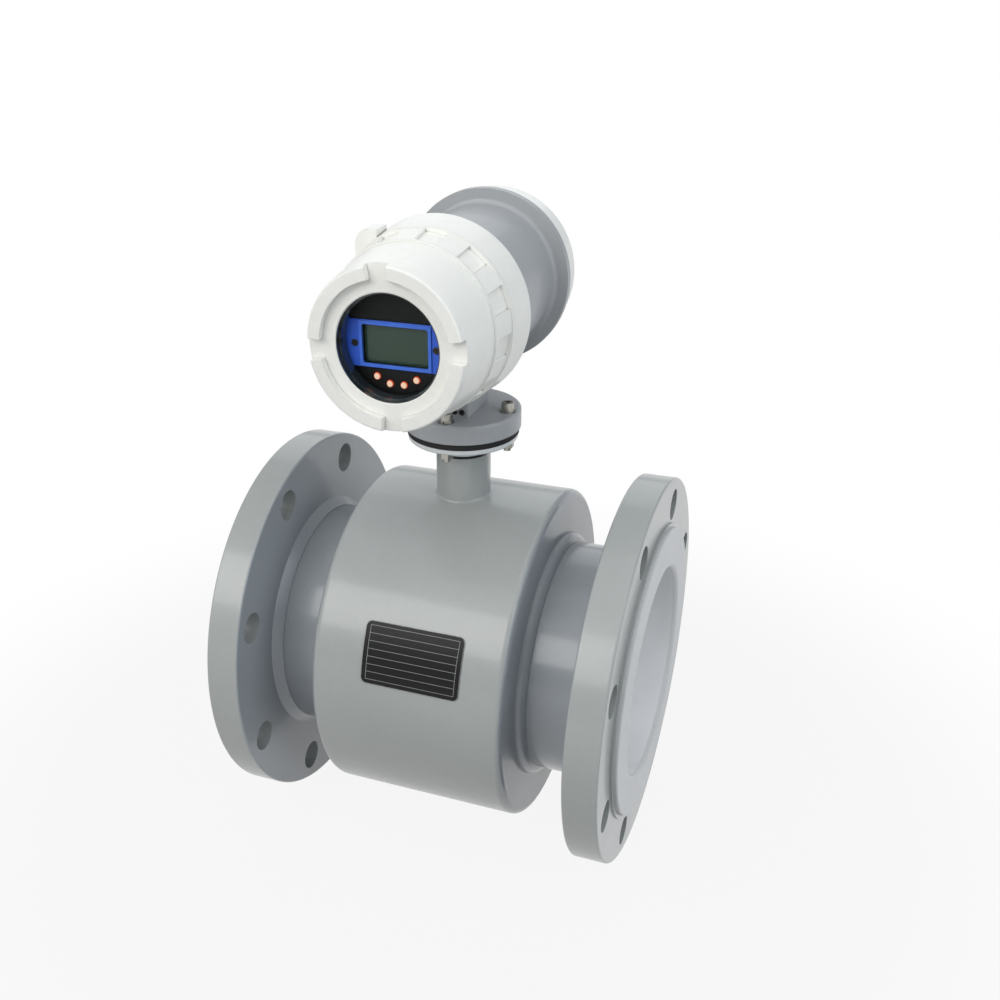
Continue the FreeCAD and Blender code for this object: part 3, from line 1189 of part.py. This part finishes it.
def glands():
    """Two cable glands on the inlet side of the waist: body, nut and rubber insert."""
    fitting = new_body("gland_fitting", node=False)
    sketch = draw_hexagon(sketch_on(fitting, "gland_hex", "YZ_Plane", offset="-gland_boss_face"),
                          "gland_hex_width")
    padded(fitting, "gland_hex_pad", sketch, "gland_hex_height", backwards=True)
    sketch = draw_circle(sketch_on(fitting, "gland_thread", "YZ_Plane", offset="-gland_boss_face"),
                         "gland_thread_radius")
    padded(fitting, "gland_thread_pad", sketch, "gland_thread_length")
    sketch = draw_circle(sketch_on(fitting, "gland_bore", "YZ_Plane"), "gland_bore_radius")
    pocketed(fitting, "gland_bore_cut", sketch, "4 * gland_boss_face", both=True)
    nut = new_body("gland_cap", node=False)
    sketch = draw_hexagon(sketch_on(nut, "gland_nut_outline", "YZ_Plane", offset=f"-{GLAND_HEX_FACE}"),
                          "gland_nut_width")
    draw_circle(sketch, "gland_bore_radius")
    padded(nut, "gland_nut_pad", sketch, "gland_nut_height", backwards=True)
    insert = new_body("gland_rubber", node=False)
    sketch = draw_circle(sketch_on(insert, "insert_outline", "YZ_Plane", offset=f"-{GLAND_END}"),
                         "gland_bore_radius")
    draw_circle(sketch, "gland_insert_bore")
    padded(insert, "insert_pad", sketch, "gland_insert_length")
    height = value(AXIS_HEIGHT)
    half = value("gland_spacing / 2")
    back = value("gland_back")
    places = [moved(0, back, height + half), moved(0, back, height - half)]
    copies("gland_bodies", fitting, places)
    copies("gland_nuts", nut, places)
    copies("gland_inserts", insert, places)


# ---- assembly ---------------------------------------------------------------------------------

measuring_pipe()
liner()
flange("inlet_flange", "-")
flange("outlet_flange", "")
saddle_coil("coil_upper", 1)
saddle_coil("coil_lower", -1)
flux_band()
electrodes()
housing_shell()
housing_cap("housing_cap_inlet", "-")
housing_cap("housing_cap_outlet", "")
nameplate()
stem()
stem_seal()
lower_flange()
gasket()
base_fasteners()
converter_casting()
pedestal_screws()
collar()
front_cover()
window_ring()
window_glass()
o_ring("front_seal", "front_thread_radius", "collar_front", "-")
display_panel()
display_frame()
lcd()
frame_screws()
buttons()
electronics_case()
module_screws()
circuit_boards()
terminals()
rear_cover()
o_ring("rear_seal", "rear_thread_radius", DISC_BACK, "")
glands()

doc.recompute()
for thing in doc.Objects:
    if "Invalid" in thing.State or "Error" in thing.State:
        raise RuntimeError(f"{thing.Label} failed: {thing.State}")
for node in nodes:
    if node.Shape.isNull() or not node.Shape.isValid():
        raise RuntimeError(f"{node.Label} has no valid shape")

os.makedirs("parts", exist_ok=True)
for node in nodes:
    node.Shape.exportStep(f"parts/{node.Label}.step")
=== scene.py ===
import math
import bpy
from mathutils import Matrix, Vector


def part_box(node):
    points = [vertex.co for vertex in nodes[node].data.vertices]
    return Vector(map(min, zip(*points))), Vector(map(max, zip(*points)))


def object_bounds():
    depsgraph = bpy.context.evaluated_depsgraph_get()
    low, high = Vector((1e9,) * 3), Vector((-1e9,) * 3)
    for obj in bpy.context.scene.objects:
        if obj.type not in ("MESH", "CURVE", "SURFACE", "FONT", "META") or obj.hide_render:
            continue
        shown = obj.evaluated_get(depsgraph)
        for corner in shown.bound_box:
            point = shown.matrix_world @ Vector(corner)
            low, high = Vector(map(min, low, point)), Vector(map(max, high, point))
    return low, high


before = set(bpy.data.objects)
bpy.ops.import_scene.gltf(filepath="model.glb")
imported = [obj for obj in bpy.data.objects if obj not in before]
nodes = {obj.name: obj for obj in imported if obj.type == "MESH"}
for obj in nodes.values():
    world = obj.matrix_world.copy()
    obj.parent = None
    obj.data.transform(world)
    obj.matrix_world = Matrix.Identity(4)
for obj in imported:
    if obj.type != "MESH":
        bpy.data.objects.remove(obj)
cad_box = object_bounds()


# Floor. A plain pale board that the meter stands on by the rims of its two flanges. It gives
# back white to the eye, to gloss and through glass, and keeps a soft shadow near the meter.
FLOOR_REACH = 60.0
FLOOR_WHITE = (0.3, 0.3, 0.3, 1.0)
FLOOR_GLOW = 0.9
SHADOW_NEAR = 0.3
SHADOW_FAR = 0.6


class Wire:
    """One shader socket. A sum or product written with it adds the Math node that works it out."""

    def __init__(self, socket):
        self.socket = socket

    def node(self, kind, settings, sockets, output=0):
        """The output of a new node of that kind: first its settings, then its values and links."""
        tree = self.socket.id_data
        made = tree.nodes.new(kind)
        for name, setting in settings.items():
            setattr(made, name, setting)
        for name, given in sockets.items():
            if isinstance(given, Wire):
                tree.links.new(given.socket, made.inputs[name])
            else:
                made.inputs[name].default_value = given
        return Wire(made.outputs[output])

    def maths(self, operation, first, second=0.0):
        return self.node("ShaderNodeMath", {"operation": operation}, {0: first, 1: second})

    def __add__(self, other):
        return self.maths("ADD", self, other)

    def __sub__(self, other):
        return self.maths("SUBTRACT", self, other)

    def __rsub__(self, other):
        return self.maths("SUBTRACT", other, self)

    def __mul__(self, other):
        return self.maths("MULTIPLY", self, other)

    def __pow__(self, other):
        return self.maths("POWER", self, other)

    __radd__ = __add__
    __rmul__ = __mul__

    def over(self, low, high):
        """0 below low, 1 above high and a smooth rise between them."""
        settings = {"interpolation_type": "SMOOTHSTEP"}
        return self.node("ShaderNodeMapRange", settings,
                         {"Value": self, "From Min": low, "From Max": high})

    def blend(self, where_zero, where_one):
        """A colour: the first where this wire is 0, and the second where it is 1."""
        return self.node("ShaderNodeMix", {"data_type": "RGBA"},
                         {0: self, 6: where_zero, 7: where_one}, output=2)


class Finish:
    """A material, made from its one Principled shader and the place of each point in metres."""

    def __init__(self, name):
        self.material = bpy.data.materials.new(name)
        self.material.use_nodes = True
        self.tree = self.material.node_tree
        self.shader = self.tree.nodes["Principled BSDF"]
        coordinates = self.tree.nodes.new("ShaderNodeTexCoord")
        self.place = Wire(coordinates.outputs["Object"])

    def axes(self, centre=(0.0, 0.0, 0.0)):
        """The three coordinates of a point, counted from a centre."""
        moved = self.place.node("ShaderNodeMapping", {},
                                {"Vector": self.place, "Location": [-value for value in centre]})
        return [moved.node("ShaderNodeSeparateXYZ", {}, {0: moved}, output=axis) for axis in range(3)]

    def noise(self, grain, detail=2.0, roughness=0.5):
        """Random cloudiness from 0 to 1, its patches about a grain across, in metres."""
        return self.place.node("ShaderNodeTexNoise", {},
                               {"Vector": self.place, "Scale": 1.0 / grain, "Detail": detail,
                                "Roughness": roughness})

    def edges(self, radius):
        """1 along the edges that stick out or lie in a corner, within about that radius."""
        rounded = self.place.node("ShaderNodeBevel", {"samples": 4}, {"Radius": radius})
        flat = self.place.node("ShaderNodeNewGeometry", {}, {}, output="Normal")
        along = self.place.node("ShaderNodeVectorMath", {"operation": "DOT_PRODUCT"},
                                {0: rounded, 1: flat}, output="Value")
        return (1.0 - along).over(0.02, 0.25), rounded

    def hollows(self, reach):
        """1 deep in a corner or slot of the piece itself, and 0 on open surfaces."""
        settings = {"samples": 6, "only_local": True}
        open_air = self.place.node("ShaderNodeAmbientOcclusion", settings,
                                   {"Distance": reach}, output="AO")
        return (1.0 - open_air).over(0.25, 0.8)

    def relief(self, height, depth, normal=None):
        """The surface raised by height times depth, in metres."""
        sockets = {"Height": height, "Distance": depth, "Strength": 1.0}
        if normal:
            sockets["Normal"] = normal
        return self.place.node("ShaderNodeBump", {}, sockets)

    def set(self, **sockets):
        """Values and wires for the shader's sockets, named in small letters with underscores."""
        for name, given in sockets.items():
            title = name.replace("_", " ").title().replace("Ior", "IOR")
            socket = self.shader.inputs[title]
            if isinstance(given, Wire):
                self.tree.links.new(given.socket, socket)
            else:
                socket.default_value = given

    def on(self, *names):
        """Puts the finish on these CAD nodes."""
        for name in names:
            nodes[name].material_slots[0].material = self.material


def colour(red, green, blue):
    """A shader colour from the three display values, 0 to 255."""
    def linear(value):
        part = value / 255.0
        return part / 12.92 if part <= 0.04045 else ((part + 0.055) / 1.055) ** 2.4
    return (linear(red), linear(green), linear(blue), 1.0)


for thing in bpy.context.selected_objects:
    thing.select_set(False)
bpy.ops.mesh.primitive_plane_add(size=FLOOR_REACH, location=(0.0, 0.0, cad_box[0].z))
floor = bpy.context.object
floor.name = "floor"
bpy.ops.object.transform_apply(location=True, rotation=True, scale=True)

board = Finish("pale_floor")
board.set(base_color=FLOOR_WHITE, roughness=0.9)
along, across, up = board.axes()
away = ((along * along + across * across) ** 0.5).over(SHADOW_NEAR, SHADOW_FAR)
rays = board.tree.nodes.new("ShaderNodeLightPath")
to_eye, to_gloss, through_glass = [
    Wire(rays.outputs[name]) for name in ("Is Camera Ray", "Is Glossy Ray", "Is Transmission Ray")]
seen = away.maths("MAXIMUM", away.maths("MAXIMUM", to_eye, to_gloss), through_glass)
share = seen * (away * (1.0 - FLOOR_GLOW) + FLOOR_GLOW)
glow = seen.node("ShaderNodeEmission", {}, {"Color": (1.0, 1.0, 1.0, 1.0), "Strength": 1.0})
mixed = seen.node("ShaderNodeMixShader", {}, {0: share, 1: Wire(board.shader.outputs[0]), 2: glow})
board.tree.links.new(mixed.socket, board.tree.nodes["Material Output"].inputs["Surface"])
floor.data.materials.append(board.material)


# Studio. A soft panel in front, to the left, makes the long highlight on the housing, one overhead
# lights what faces up, and two weaker ones open up the outlet side and the back.
LAMP_AIM = Vector((0.0, 0.0, 0.06))
LAMPS = (
    ("front_panel", (-0.75, -1.5, 1.15), (1.5, 0.95), 15.2, (1.0, 0.985, 0.955)),
    ("overhead_panel", (0.1, -0.55, 1.9), (2.0, 1.8), 6.5, (1.0, 0.99, 0.97)),
    ("side_panel", (1.55, -0.5, 0.85), (1.2, 1.2), 8.0, (0.88, 0.94, 1.0)),
    ("back_panel", (-0.5, 1.6, 0.9), (1.4, 1.2), 4.0, (0.97, 0.985, 1.0)),
)
SKY = 0.52
SKY_TINT = (0.9, 0.95, 1.0, 1.0)

for name, stand, sides, watts, tint in LAMPS:
    light = bpy.data.lights.new(name, "AREA")
    light.shape = "RECTANGLE"
    light.size, light.size_y = sides
    light.energy = watts
    light.color = tint
    lamp = bpy.data.objects.new(name, light)
    bpy.context.scene.collection.objects.link(lamp)
    lamp.location = stand
    lamp.rotation_euler = (LAMP_AIM - Vector(stand)).to_track_quat("-Z", "Y").to_euler()

world = bpy.data.worlds.new("studio_air")
bpy.context.scene.world = world
world.use_nodes = True
air = world.node_tree.nodes["Background"]
paths = Wire(world.node_tree.nodes.new("ShaderNodeLightPath").outputs["Is Camera Ray"])
strength = paths * (1.0 - SKY) + SKY
world.node_tree.links.new(strength.socket, air.inputs["Strength"])
tinted = paths.blend(SKY_TINT, (1.0, 1.0, 1.0, 1.0))
world.node_tree.links.new(tinted.socket, air.inputs["Color"])
bpy.context.scene.view_settings.view_transform = "Standard"


# Camera. It stands before the outlet end, a little above the converter, and looks down along
# the meter.
LENS = 41.66
EYE = Vector((0.2657, -0.6996, 0.4668))
YAW = math.radians(22.62)
PITCH = math.radians(29.42)
ROLL = math.radians(-1.42)
SHIFT = (0.0673, 0.0846)

view = bpy.data.cameras.new("view")
view.lens = LENS
view.sensor_width = 36.0
view.shift_x, view.shift_y = SHIFT
camera = bpy.data.objects.new("view", view)
bpy.context.scene.collection.objects.link(camera)
tilt = Matrix.Rotation(math.pi / 2 - PITCH, 4, "X") @ Matrix.Rotation(ROLL, 4, "Z")
camera.matrix_world = Matrix.Translation(EYE) @ Matrix.Rotation(YAW, 4, "Z") @ tilt
bpy.context.scene.camera = camera


# Welded steel body: pipe, two forged flanges, rolled housing with pressed ends and the stem.
# They are welded, blasted and sprayed together in a grey two-pack paint with a glossy skin.
# The pipe, the flanges' backs and the housing's end faces get a darker, bluer grey, as painted shade.
STEEL_GREY = (167, 170, 168)
# Painted shade: the darker, bluer grey for the faces that lie in shade.
SHADED_GREY = (153, 158, 163)
FLANGE_THICKNESS = 0.0254
WELD_LEG = 0.0065
WELD_RIPPLE = 0.00035
ORANGE_PEEL = 0.00002
CLOUD_SHADE = 0.965
# Painted shade: the share of the colour that is left deep in a piece's own corners and slots.
CORNER_SHADE = 0.55


def sprayed(name, shade, peel, gloss, coat, corner=0.004, dust_and_shade=0.35):
    """Sprayed paint: slight clouds of colour, orange peel, a clear glossy skin and painted shade in its
    corners.
    """
    paint = Finish(name)
    clouds = paint.noise(0.09, 3.0)
    specks = paint.noise(0.004, 2.0)
    dull = colour(*[CLOUD_SHADE * value for value in shade])
    shaded_corners = colour(*[CORNER_SHADE * value for value in shade])
    base = (clouds * 0.7 + specks * 0.3).over(0.3, 0.7).blend(dull, colour(*shade))
    # Painted shade: the piece's own corners and slots are darkened, as if shade fell in them.
    base = (paint.hollows(corner) * dust_and_shade).blend(base, shaded_corners)
    skin = paint.noise(peel, 1.0)
    paint.set(
        base_color=base,
        roughness=gloss + paint.noise(0.03, 3.0) * 0.12,
        normal=paint.relief(skin, ORANGE_PEEL),
        coat_weight=coat,
        coat_roughness=0.13,
    )
    return paint, base, skin


def rubbed_edges(paint, base, pale, radius, strength):
    """Rounds the edges of a sprayed piece to the eye and thins the colour along them."""
    rubbed, rounded = paint.edges(radius)
    wear = rubbed * paint.noise(0.02, 2.0).over(0.25, 0.75) * strength
    paint.set(base_color=wear.blend(base, colour(*pale)))
    return rounded


flange_paint, base, skin = sprayed("flange_paint", STEEL_GREY, 0.0022, 0.3, 0.5)
along = flange_paint.axes()[0]
flange_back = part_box("outlet_flange")[1].x - FLANGE_THICKNESS
outward = along.maths("ABSOLUTE", along).over(flange_back + 0.0002, flange_back + 0.0012)
# Painted shade: the flanges' back faces, which face the housing, take the darker, bluer grey.
base = outward.blend(colour(*SHADED_GREY), base)
rounded = rubbed_edges(flange_paint, base, (202, 206, 206), 0.0009, 0.5)
flange_paint.set(normal=flange_paint.relief(skin, ORANGE_PEEL, rounded))
flange_paint.on("inlet_flange", "outlet_flange")

housing_paint, base, skin = sprayed("housing_paint", STEEL_GREY, 0.0022, 0.3, 0.5)
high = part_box("housing_cap_outlet")[1]
along, across, up = housing_paint.axes()
sideways = along.maths("ABSOLUTE", along)
from_axis = (across * across + up * up) ** 0.5
end_face = high.x - WELD_LEG
on_end = sideways.over(end_face - 0.003, end_face - 0.0005)
from_side = sideways.over(end_face - 0.006, end_face - 0.003)
at_corner = from_side * from_axis.over(high.z - 0.009, high.z - 0.004)
bead = at_corner * housing_paint.noise(0.007, 1.0)
peel = housing_paint.relief(skin, ORANGE_PEEL)
# Painted shade: the housing's end faces take the darker, bluer grey.
housing_paint.set(
    base_color=on_end.blend(base, colour(*SHADED_GREY)),
    normal=housing_paint.relief(bead, WELD_RIPPLE, peel),
)
housing_paint.on("housing_shell", "housing_cap_inlet", "housing_cap_outlet", "stem")

# Painted shade: the whole pipe between the flanges is painted the darker, bluer grey.
sprayed("shaded_pipe_paint", SHADED_GREY, 0.0022, 0.26, 0.6)[0].on("measuring_pipe")


# Liner. A PTFE tube is pulled through the pipe and flared over both raised faces, so its ends
# show fine turned rings and its bore is smooth and milky.
# The flared faces are painted greyer and the bore paler, as painted shade and painted light on the same
# PTFE.
LINER_FACE_SHADED = (212, 212, 212)
LINER_BORE_LIT = (252, 252, 252)
BORE_LIT_CLOUDED = (242, 242, 242)
TURNED_RINGS = 4200.0

liner_skin = Finish("liner_skin")
liner_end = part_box("liner")[1].x
along, across, up = liner_skin.axes()
from_axis = (across * across + up * up) ** 0.5
rings = from_axis.maths("SINE", from_axis * TURNED_RINGS)
patches = liner_skin.noise(0.05, 3.0)
on_face = along.maths("ABSOLUTE", along).over(liner_end - 0.004, liner_end - 0.0025)
# Painted light: the bore is painted paler than the flared faces, with cloudy patches, though both are the
# same PTFE.
lit_bore = patches.over(0.3, 0.7).blend(colour(*BORE_LIT_CLOUDED), colour(*LINER_BORE_LIT))
liner_skin.set(
    base_color=on_face.blend(lit_bore, colour(*LINER_FACE_SHADED)),
    roughness=0.32 + patches * 0.12,
    normal=liner_skin.relief(rings, 0.000004, liner_skin.edges(0.0008)[1]),
    subsurface_weight=0.08,
    subsurface_radius=(0.004, 0.004, 0.004),
)
liner_skin.on("liner")


# Magnetic circuit and electrodes, shut in the housing: two coils of enamelled wire above and
# below the pipe, the steel band that closes their field, and an electrode pin on each side.
WIRE_TURNS = 6000.0

copper = Finish("enamelled_wire")
along, across, up = copper.axes()
turns = across.maths("SINE", (across + along) * WIRE_TURNS)
copper.set(
    base_color=turns.over(-0.6, 0.8).blend(colour(120, 58, 24), colour(196, 116, 62)),
    roughness=0.3 + copper.noise(0.01) * 0.15,
    metallic=0.85,
    normal=copper.relief(turns, 0.0001),
)
copper.on("coil_upper", "coil_lower")


def metal(name, shade, rough, grain=0.0012, scratch=0.00001):
    """Bare or plated metal: a fine grain, and edges that are polished by handling."""
    steel = Finish(name)
    polished, rounded = steel.edges(0.0004)
    fine = steel.noise(grain, 4.0, 0.6)
    stain = steel.noise(0.02, 3.0)
    base = stain.over(0.35, 0.75).blend(colour(*shade), colour(*[0.86 * value for value in shade]))
    steel.set(
        base_color=(polished * 0.5).blend(base, colour(232, 232, 230)),
        roughness=rough + fine * 0.12 + stain * 0.08,
        metallic=1.0,
        normal=steel.relief(fine, scratch, rounded),
    )
    return steel


metal("bare_steel", (176, 177, 180), 0.3).on(
    "flux_band", "electrode_front", "electrode_rear", "electrode_nuts")


def moulded(name, shade, rough, texture=0.0006, depth=0.000012, lift=18):
    """A moulding: an even colour with a fine spark-eroded grain and slightly paler edges."""
    plastic = Finish(name)
    worn, rounded = plastic.edges(0.0004)
    grain = plastic.noise(texture, 3.0, 0.6)
    drift = plastic.noise(0.03, 2.0)
    pale = [min(255, value + lift) for value in shade]
    deep = [0.9 * value for value in shade]
    base = drift.over(0.3, 0.7).blend(colour(*deep), colour(*shade))
    plastic.set(
        base_color=(worn * 0.6).blend(base, colour(*pale)),
        roughness=rough + grain * 0.1 + drift * 0.06,
        normal=plastic.relief(grain, depth, rounded),
    )
    return plastic


moulded("electrode_insulator", (214, 210, 196), 0.42).on("electrode_bushes")


# Nameplate. A thin black anodised plate, bent to the housing and glued on. Its cut edge is bright,
# and the face carries only the engraved rules of a blank form.
PLATE_BORDER = 0.0011
RULE_WIDTH = 0.00016
FORM_ROWS = 7

plate = Finish("anodised_plate")
low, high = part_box("nameplate")
along, across, up = plate.axes()
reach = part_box("housing_shell")[1].z
lowest, highest = [reach * math.asin(value / reach) for value in (low.z, high.z)]
round_up = up.maths("ARCTAN2", up, 0.0 - across) * reach
bright, rounded = plate.edges(0.0007)
across_grain = {"Vector": plate.place, "Scale": (60.0, 2500.0, 2500.0)}
brushed = plate.place.node("ShaderNodeMapping", {}, across_grain)
lines = brushed.node("ShaderNodeTexNoise", {}, {"Vector": brushed, "Scale": 1.0, "Detail": 3.0})


def line_at(place, centre, width):
    """1 on a line of that width across an axis, and 0 beside it."""
    gap = place.maths("ABSOLUTE", place - centre)
    return 1.0 - gap.over(width * 0.5, width * 1.1)


def between(place, low_end, high_end):
    """1 between two places on an axis."""
    return place.over(low_end - 0.0001, low_end) * (1.0 - place.over(high_end, high_end + 0.0001))


left, right = low.x + 3 * PLATE_BORDER, high.x - 3 * PLATE_BORDER
bottom, top = lowest + 3 * PLATE_BORDER, highest - 3 * PLATE_BORDER
upright_rules = line_at(along, left, RULE_WIDTH) + line_at(along, right, RULE_WIDTH)
frame_sides = between(round_up, bottom, top) * upright_rules
form = frame_sides + between(along, left, right) * line_at(round_up, bottom, RULE_WIDTH)
for row in range(1, FORM_ROWS + 1):
    height = bottom + (top - bottom) * row / FORM_ROWS
    form = form + between(along, left, right) * line_at(round_up, height, RULE_WIDTH)
anodised = lines.over(0.2, 0.8).blend(colour(15, 15, 16), colour(27, 26, 26))
engraved = form.maths("MINIMUM", form, 1.0) * 0.75
plate.set(
    base_color=bright.blend(engraved.blend(anodised, colour(186, 188, 188)), colour(206, 208, 208)),
    roughness=0.3 + lines * 0.14,
    metallic=bright * 0.8,
    specular_ior_level=0.25,
    normal=plate.relief(lines - engraved * 3.0, 0.000006, rounded),
)
plate.on("nameplate")


# Base of the converter: a turned lower flange in a paler, silvery coat, black gaskets, and four
# socket head screws with washers and nuts that clamp the cast base to it.
TURNED_SILVER = (228, 231, 231)

sprayed("silver_coat", TURNED_SILVER, 0.0018, 0.3, 0.3)[0].on("lower_flange")


def rubber(name):
    """Black rubber with a dull bloom and a fine moulded skin."""
    black = Finish(name)
    bloom = black.noise(0.008, 4.0, 0.6)
    black.set(
        base_color=bloom.over(0.45, 0.8).blend(colour(6, 6, 7), colour(18, 18, 19)),
        roughness=0.55 + bloom * 0.25,
        normal=black.relief(black.noise(0.0009, 2.0), 0.00002, black.edges(0.0005)[1]),
    )
    return black


rubber("black_rubber").on("flange_gasket", "stem_seal", "front_seal", "rear_seal", "gland_inserts")
metal("plated_bolts", (176, 173, 165), 0.22).on(
    "base_bolts", "base_nuts", "base_washers", "base_spring_washers", "board_screws", "module_screws")
metal("dark_screws", (58, 56, 54), 0.34).on("frame_screws", "pedestal_screws")


# Converter casting. One aluminium die casting from the base flange to the rear disc, with a
# slightly grainier skin under the same grey.
CASTING_GREY = (172, 174, 176)

# Painted shade: its corners and slots are darkened more strongly than on the steel.
casting, base, skin = sprayed("casting_grey", CASTING_GREY, 0.0014, 0.38, 0.2, 0.002, 0.5)
rounded = rubbed_edges(casting, base, (196, 198, 199), 0.0007, 0.5)
casting.set(normal=casting.relief(skin, 0.00003, rounded))
casting.on("converter_body")


# White castings: the collar with its cable lug, and the two screwed covers. They are powder
# coated, so the skin is thick, even and softly glossy.
POWDER_WHITE = (252, 251, 245)

# Painted shade: its corners and slots are darkened most, which draws dark lines along the steps of the
# covers.
powder, base, skin = sprayed("white_powder", POWDER_WHITE, 0.0016, 0.36, 0.25, 0.0018, 0.75)
rounded = rubbed_edges(powder, base, (254, 254, 253), 0.0007, 0.3)
powder.set(normal=powder.relief(skin, ORANGE_PEEL, rounded))
powder.on("collar", "front_cover", "rear_cover")


# Window. A glossy black ring is pressed into the cover's front and carries a toughened glass.
gloss_ring = Finish("gloss_black_ring")
smear = gloss_ring.noise(0.012, 3.0)
gloss_ring.set(
    base_color=smear.over(0.4, 0.8).blend(colour(40, 49, 53), colour(60, 70, 74)),
    roughness=0.1 + smear * 0.1,
    normal=gloss_ring.edges(0.0006)[1],
    coat_weight=0.6,
    coat_roughness=0.05,
)
gloss_ring.on("window_ring")

glass = Finish("window_glass")
# Dust on the pane only roughens it in patches; it adds no colour.
dust_and_shade = glass.noise(0.006, 4.0, 0.6)
glass.set(base_color=colour(8, 9, 9), roughness=0.03 + dust_and_shade.over(0.4, 0.9) * 0.06)
clear = glass.place.node("ShaderNodeBsdfTransparent", {}, {"Color": (0.97, 0.98, 0.975, 1.0)})
sheen = glass.place.node("ShaderNodeLayerWeight", {}, {"Blend": 0.12}, output="Fresnel")
pane = sheen.node("ShaderNodeMixShader", {}, {0: sheen * 0.4, 1: clear, 2: Wire(glass.shader.outputs[0])})
glass.tree.links.new(pane.socket, glass.tree.nodes["Material Output"].inputs["Surface"])
glass.on("window_glass")


# Display. A black panel behind the window carries a blue bezel with a paler raised border, the
# display glass, two dark screws and four push buttons.
panel = moulded("panel_black", (14, 14, 15), 0.42, 0.0009, 0.000008, 8)
panel.set(specular_ior_level=0.25)
panel.on("display_panel")

BEZEL_BLUE = (62, 110, 238)
BEZEL_DEEP = (50, 94, 218)
BORDER_BLUE = (78, 130, 250)
BORDER_HALF_WIDTH = 0.0226

bezel = moulded("blue_bezel", BEZEL_BLUE, 0.3, 0.0007, 0.000006)
low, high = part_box("display_frame")
across = bezel.axes((low + high) / 2)[0]
sideways = across.maths("ABSOLUTE", across)
raised = 1.0 - sideways.over(BORDER_HALF_WIDTH, BORDER_HALF_WIDTH + 0.0003)
pigment = bezel.noise(0.006, 3.0).over(0.3, 0.8) * 0.3
hue = raised.blend(colour(*BEZEL_BLUE), colour(*BORDER_BLUE))
bezel.set(base_color=pigment.blend(hue, colour(*BEZEL_DEEP)))
bezel.on("display_frame")

DISPLAY_CELLS = 18000.0

screen = Finish("display_glass")
low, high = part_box("lcd")
across, depth, up = screen.axes((low + high) / 2)
fall = ((up - across * 0.3) * 38.0 + 0.5).over(0.0, 1.0)
cells = across.maths("MAXIMUM", across.maths("SINE", across * DISPLAY_CELLS),
                     up.maths("SINE", up * DISPLAY_CELLS))
tint = fall.blend(colour(46, 70, 55), colour(52, 74, 62))
screen.set(
    base_color=(cells.over(0.7, 1.0) * 0.35).blend(tint, colour(44, 60, 49)),
    roughness=0.16 + screen.noise(0.01, 3.0) * 0.08,
)
screen.on("lcd")

BUTTON_CORE = 0.00165

for number in range(1, 5):
    cap = Finish(f"button_{number}_cap")
    low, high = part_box(f"button_{number}")
    across, depth, up = cap.axes((low + high) / 2)
    from_middle = (across * across + up * up) ** 0.5
    rim = (from_middle + cap.noise(0.0016, 2.0) * 0.0003).over(BUTTON_CORE, BUTTON_CORE + 0.0006)
    # Painted light: the caps glow faintly and are paler in the middle, though no lamp is in them.
    cap.set(
        base_color=rim.blend(colour(255, 222, 196), colour(232, 88, 36)),
        emission_color=rim.blend(colour(255, 202, 162), colour(232, 70, 20)),
        emission_strength=0.3,
        roughness=0.22 + cap.noise(0.002, 2.0) * 0.1,
        normal=cap.edges(0.0003)[1],
        coat_weight=0.4,
        coat_roughness=0.1,
    )
    cap.on(f"button_{number}")


# Electronics behind the panel: a moulded case with two green boards, nylon spacers, the
# transformer, the push switches and the terminals for the cables.
moulded("dark_moulding", (40, 40, 43), 0.5).on("electronics_case")
moulded("nylon_spacer", (222, 221, 212), 0.45).on("display_spacers")
moulded("switch_black", (24, 24, 25), 0.45).on("tact_switches")
moulded("terminal_green", (52, 118, 66), 0.42).on("terminal_block")
moulded("varnished_core", (44, 38, 32), 0.35).on("transformer")
metal("terminal_screws", (198, 192, 172), 0.28).on("terminal_screws")

COPPER_TRACKS = 2400.0

solder_mask = Finish("solder_mask")
across, depth, up = solder_mask.axes()
tracks = across.maths("MAXIMUM", across.maths("SINE", across * COPPER_TRACKS),
                      up.maths("SINE", up * COPPER_TRACKS))
copper_tracks = tracks.over(0.86, 0.94) * solder_mask.noise(0.006, 1.0).over(0.45, 0.55)
solder_mask.set(
    base_color=copper_tracks.blend(colour(16, 74, 38), colour(36, 112, 62)),
    roughness=0.28 + solder_mask.noise(0.01) * 0.1,
    normal=solder_mask.relief(copper_tracks, 0.00003),
)
solder_mask.on("display_board", "main_board")


# Cable glands. Two grey nylon glands screw into the casting behind, towards the inlet, with a
# rubber insert in each nut. No cable is fitted.
moulded("grey_nylon", (92, 94, 97), 0.44).on("gland_bodies", "gland_nuts")
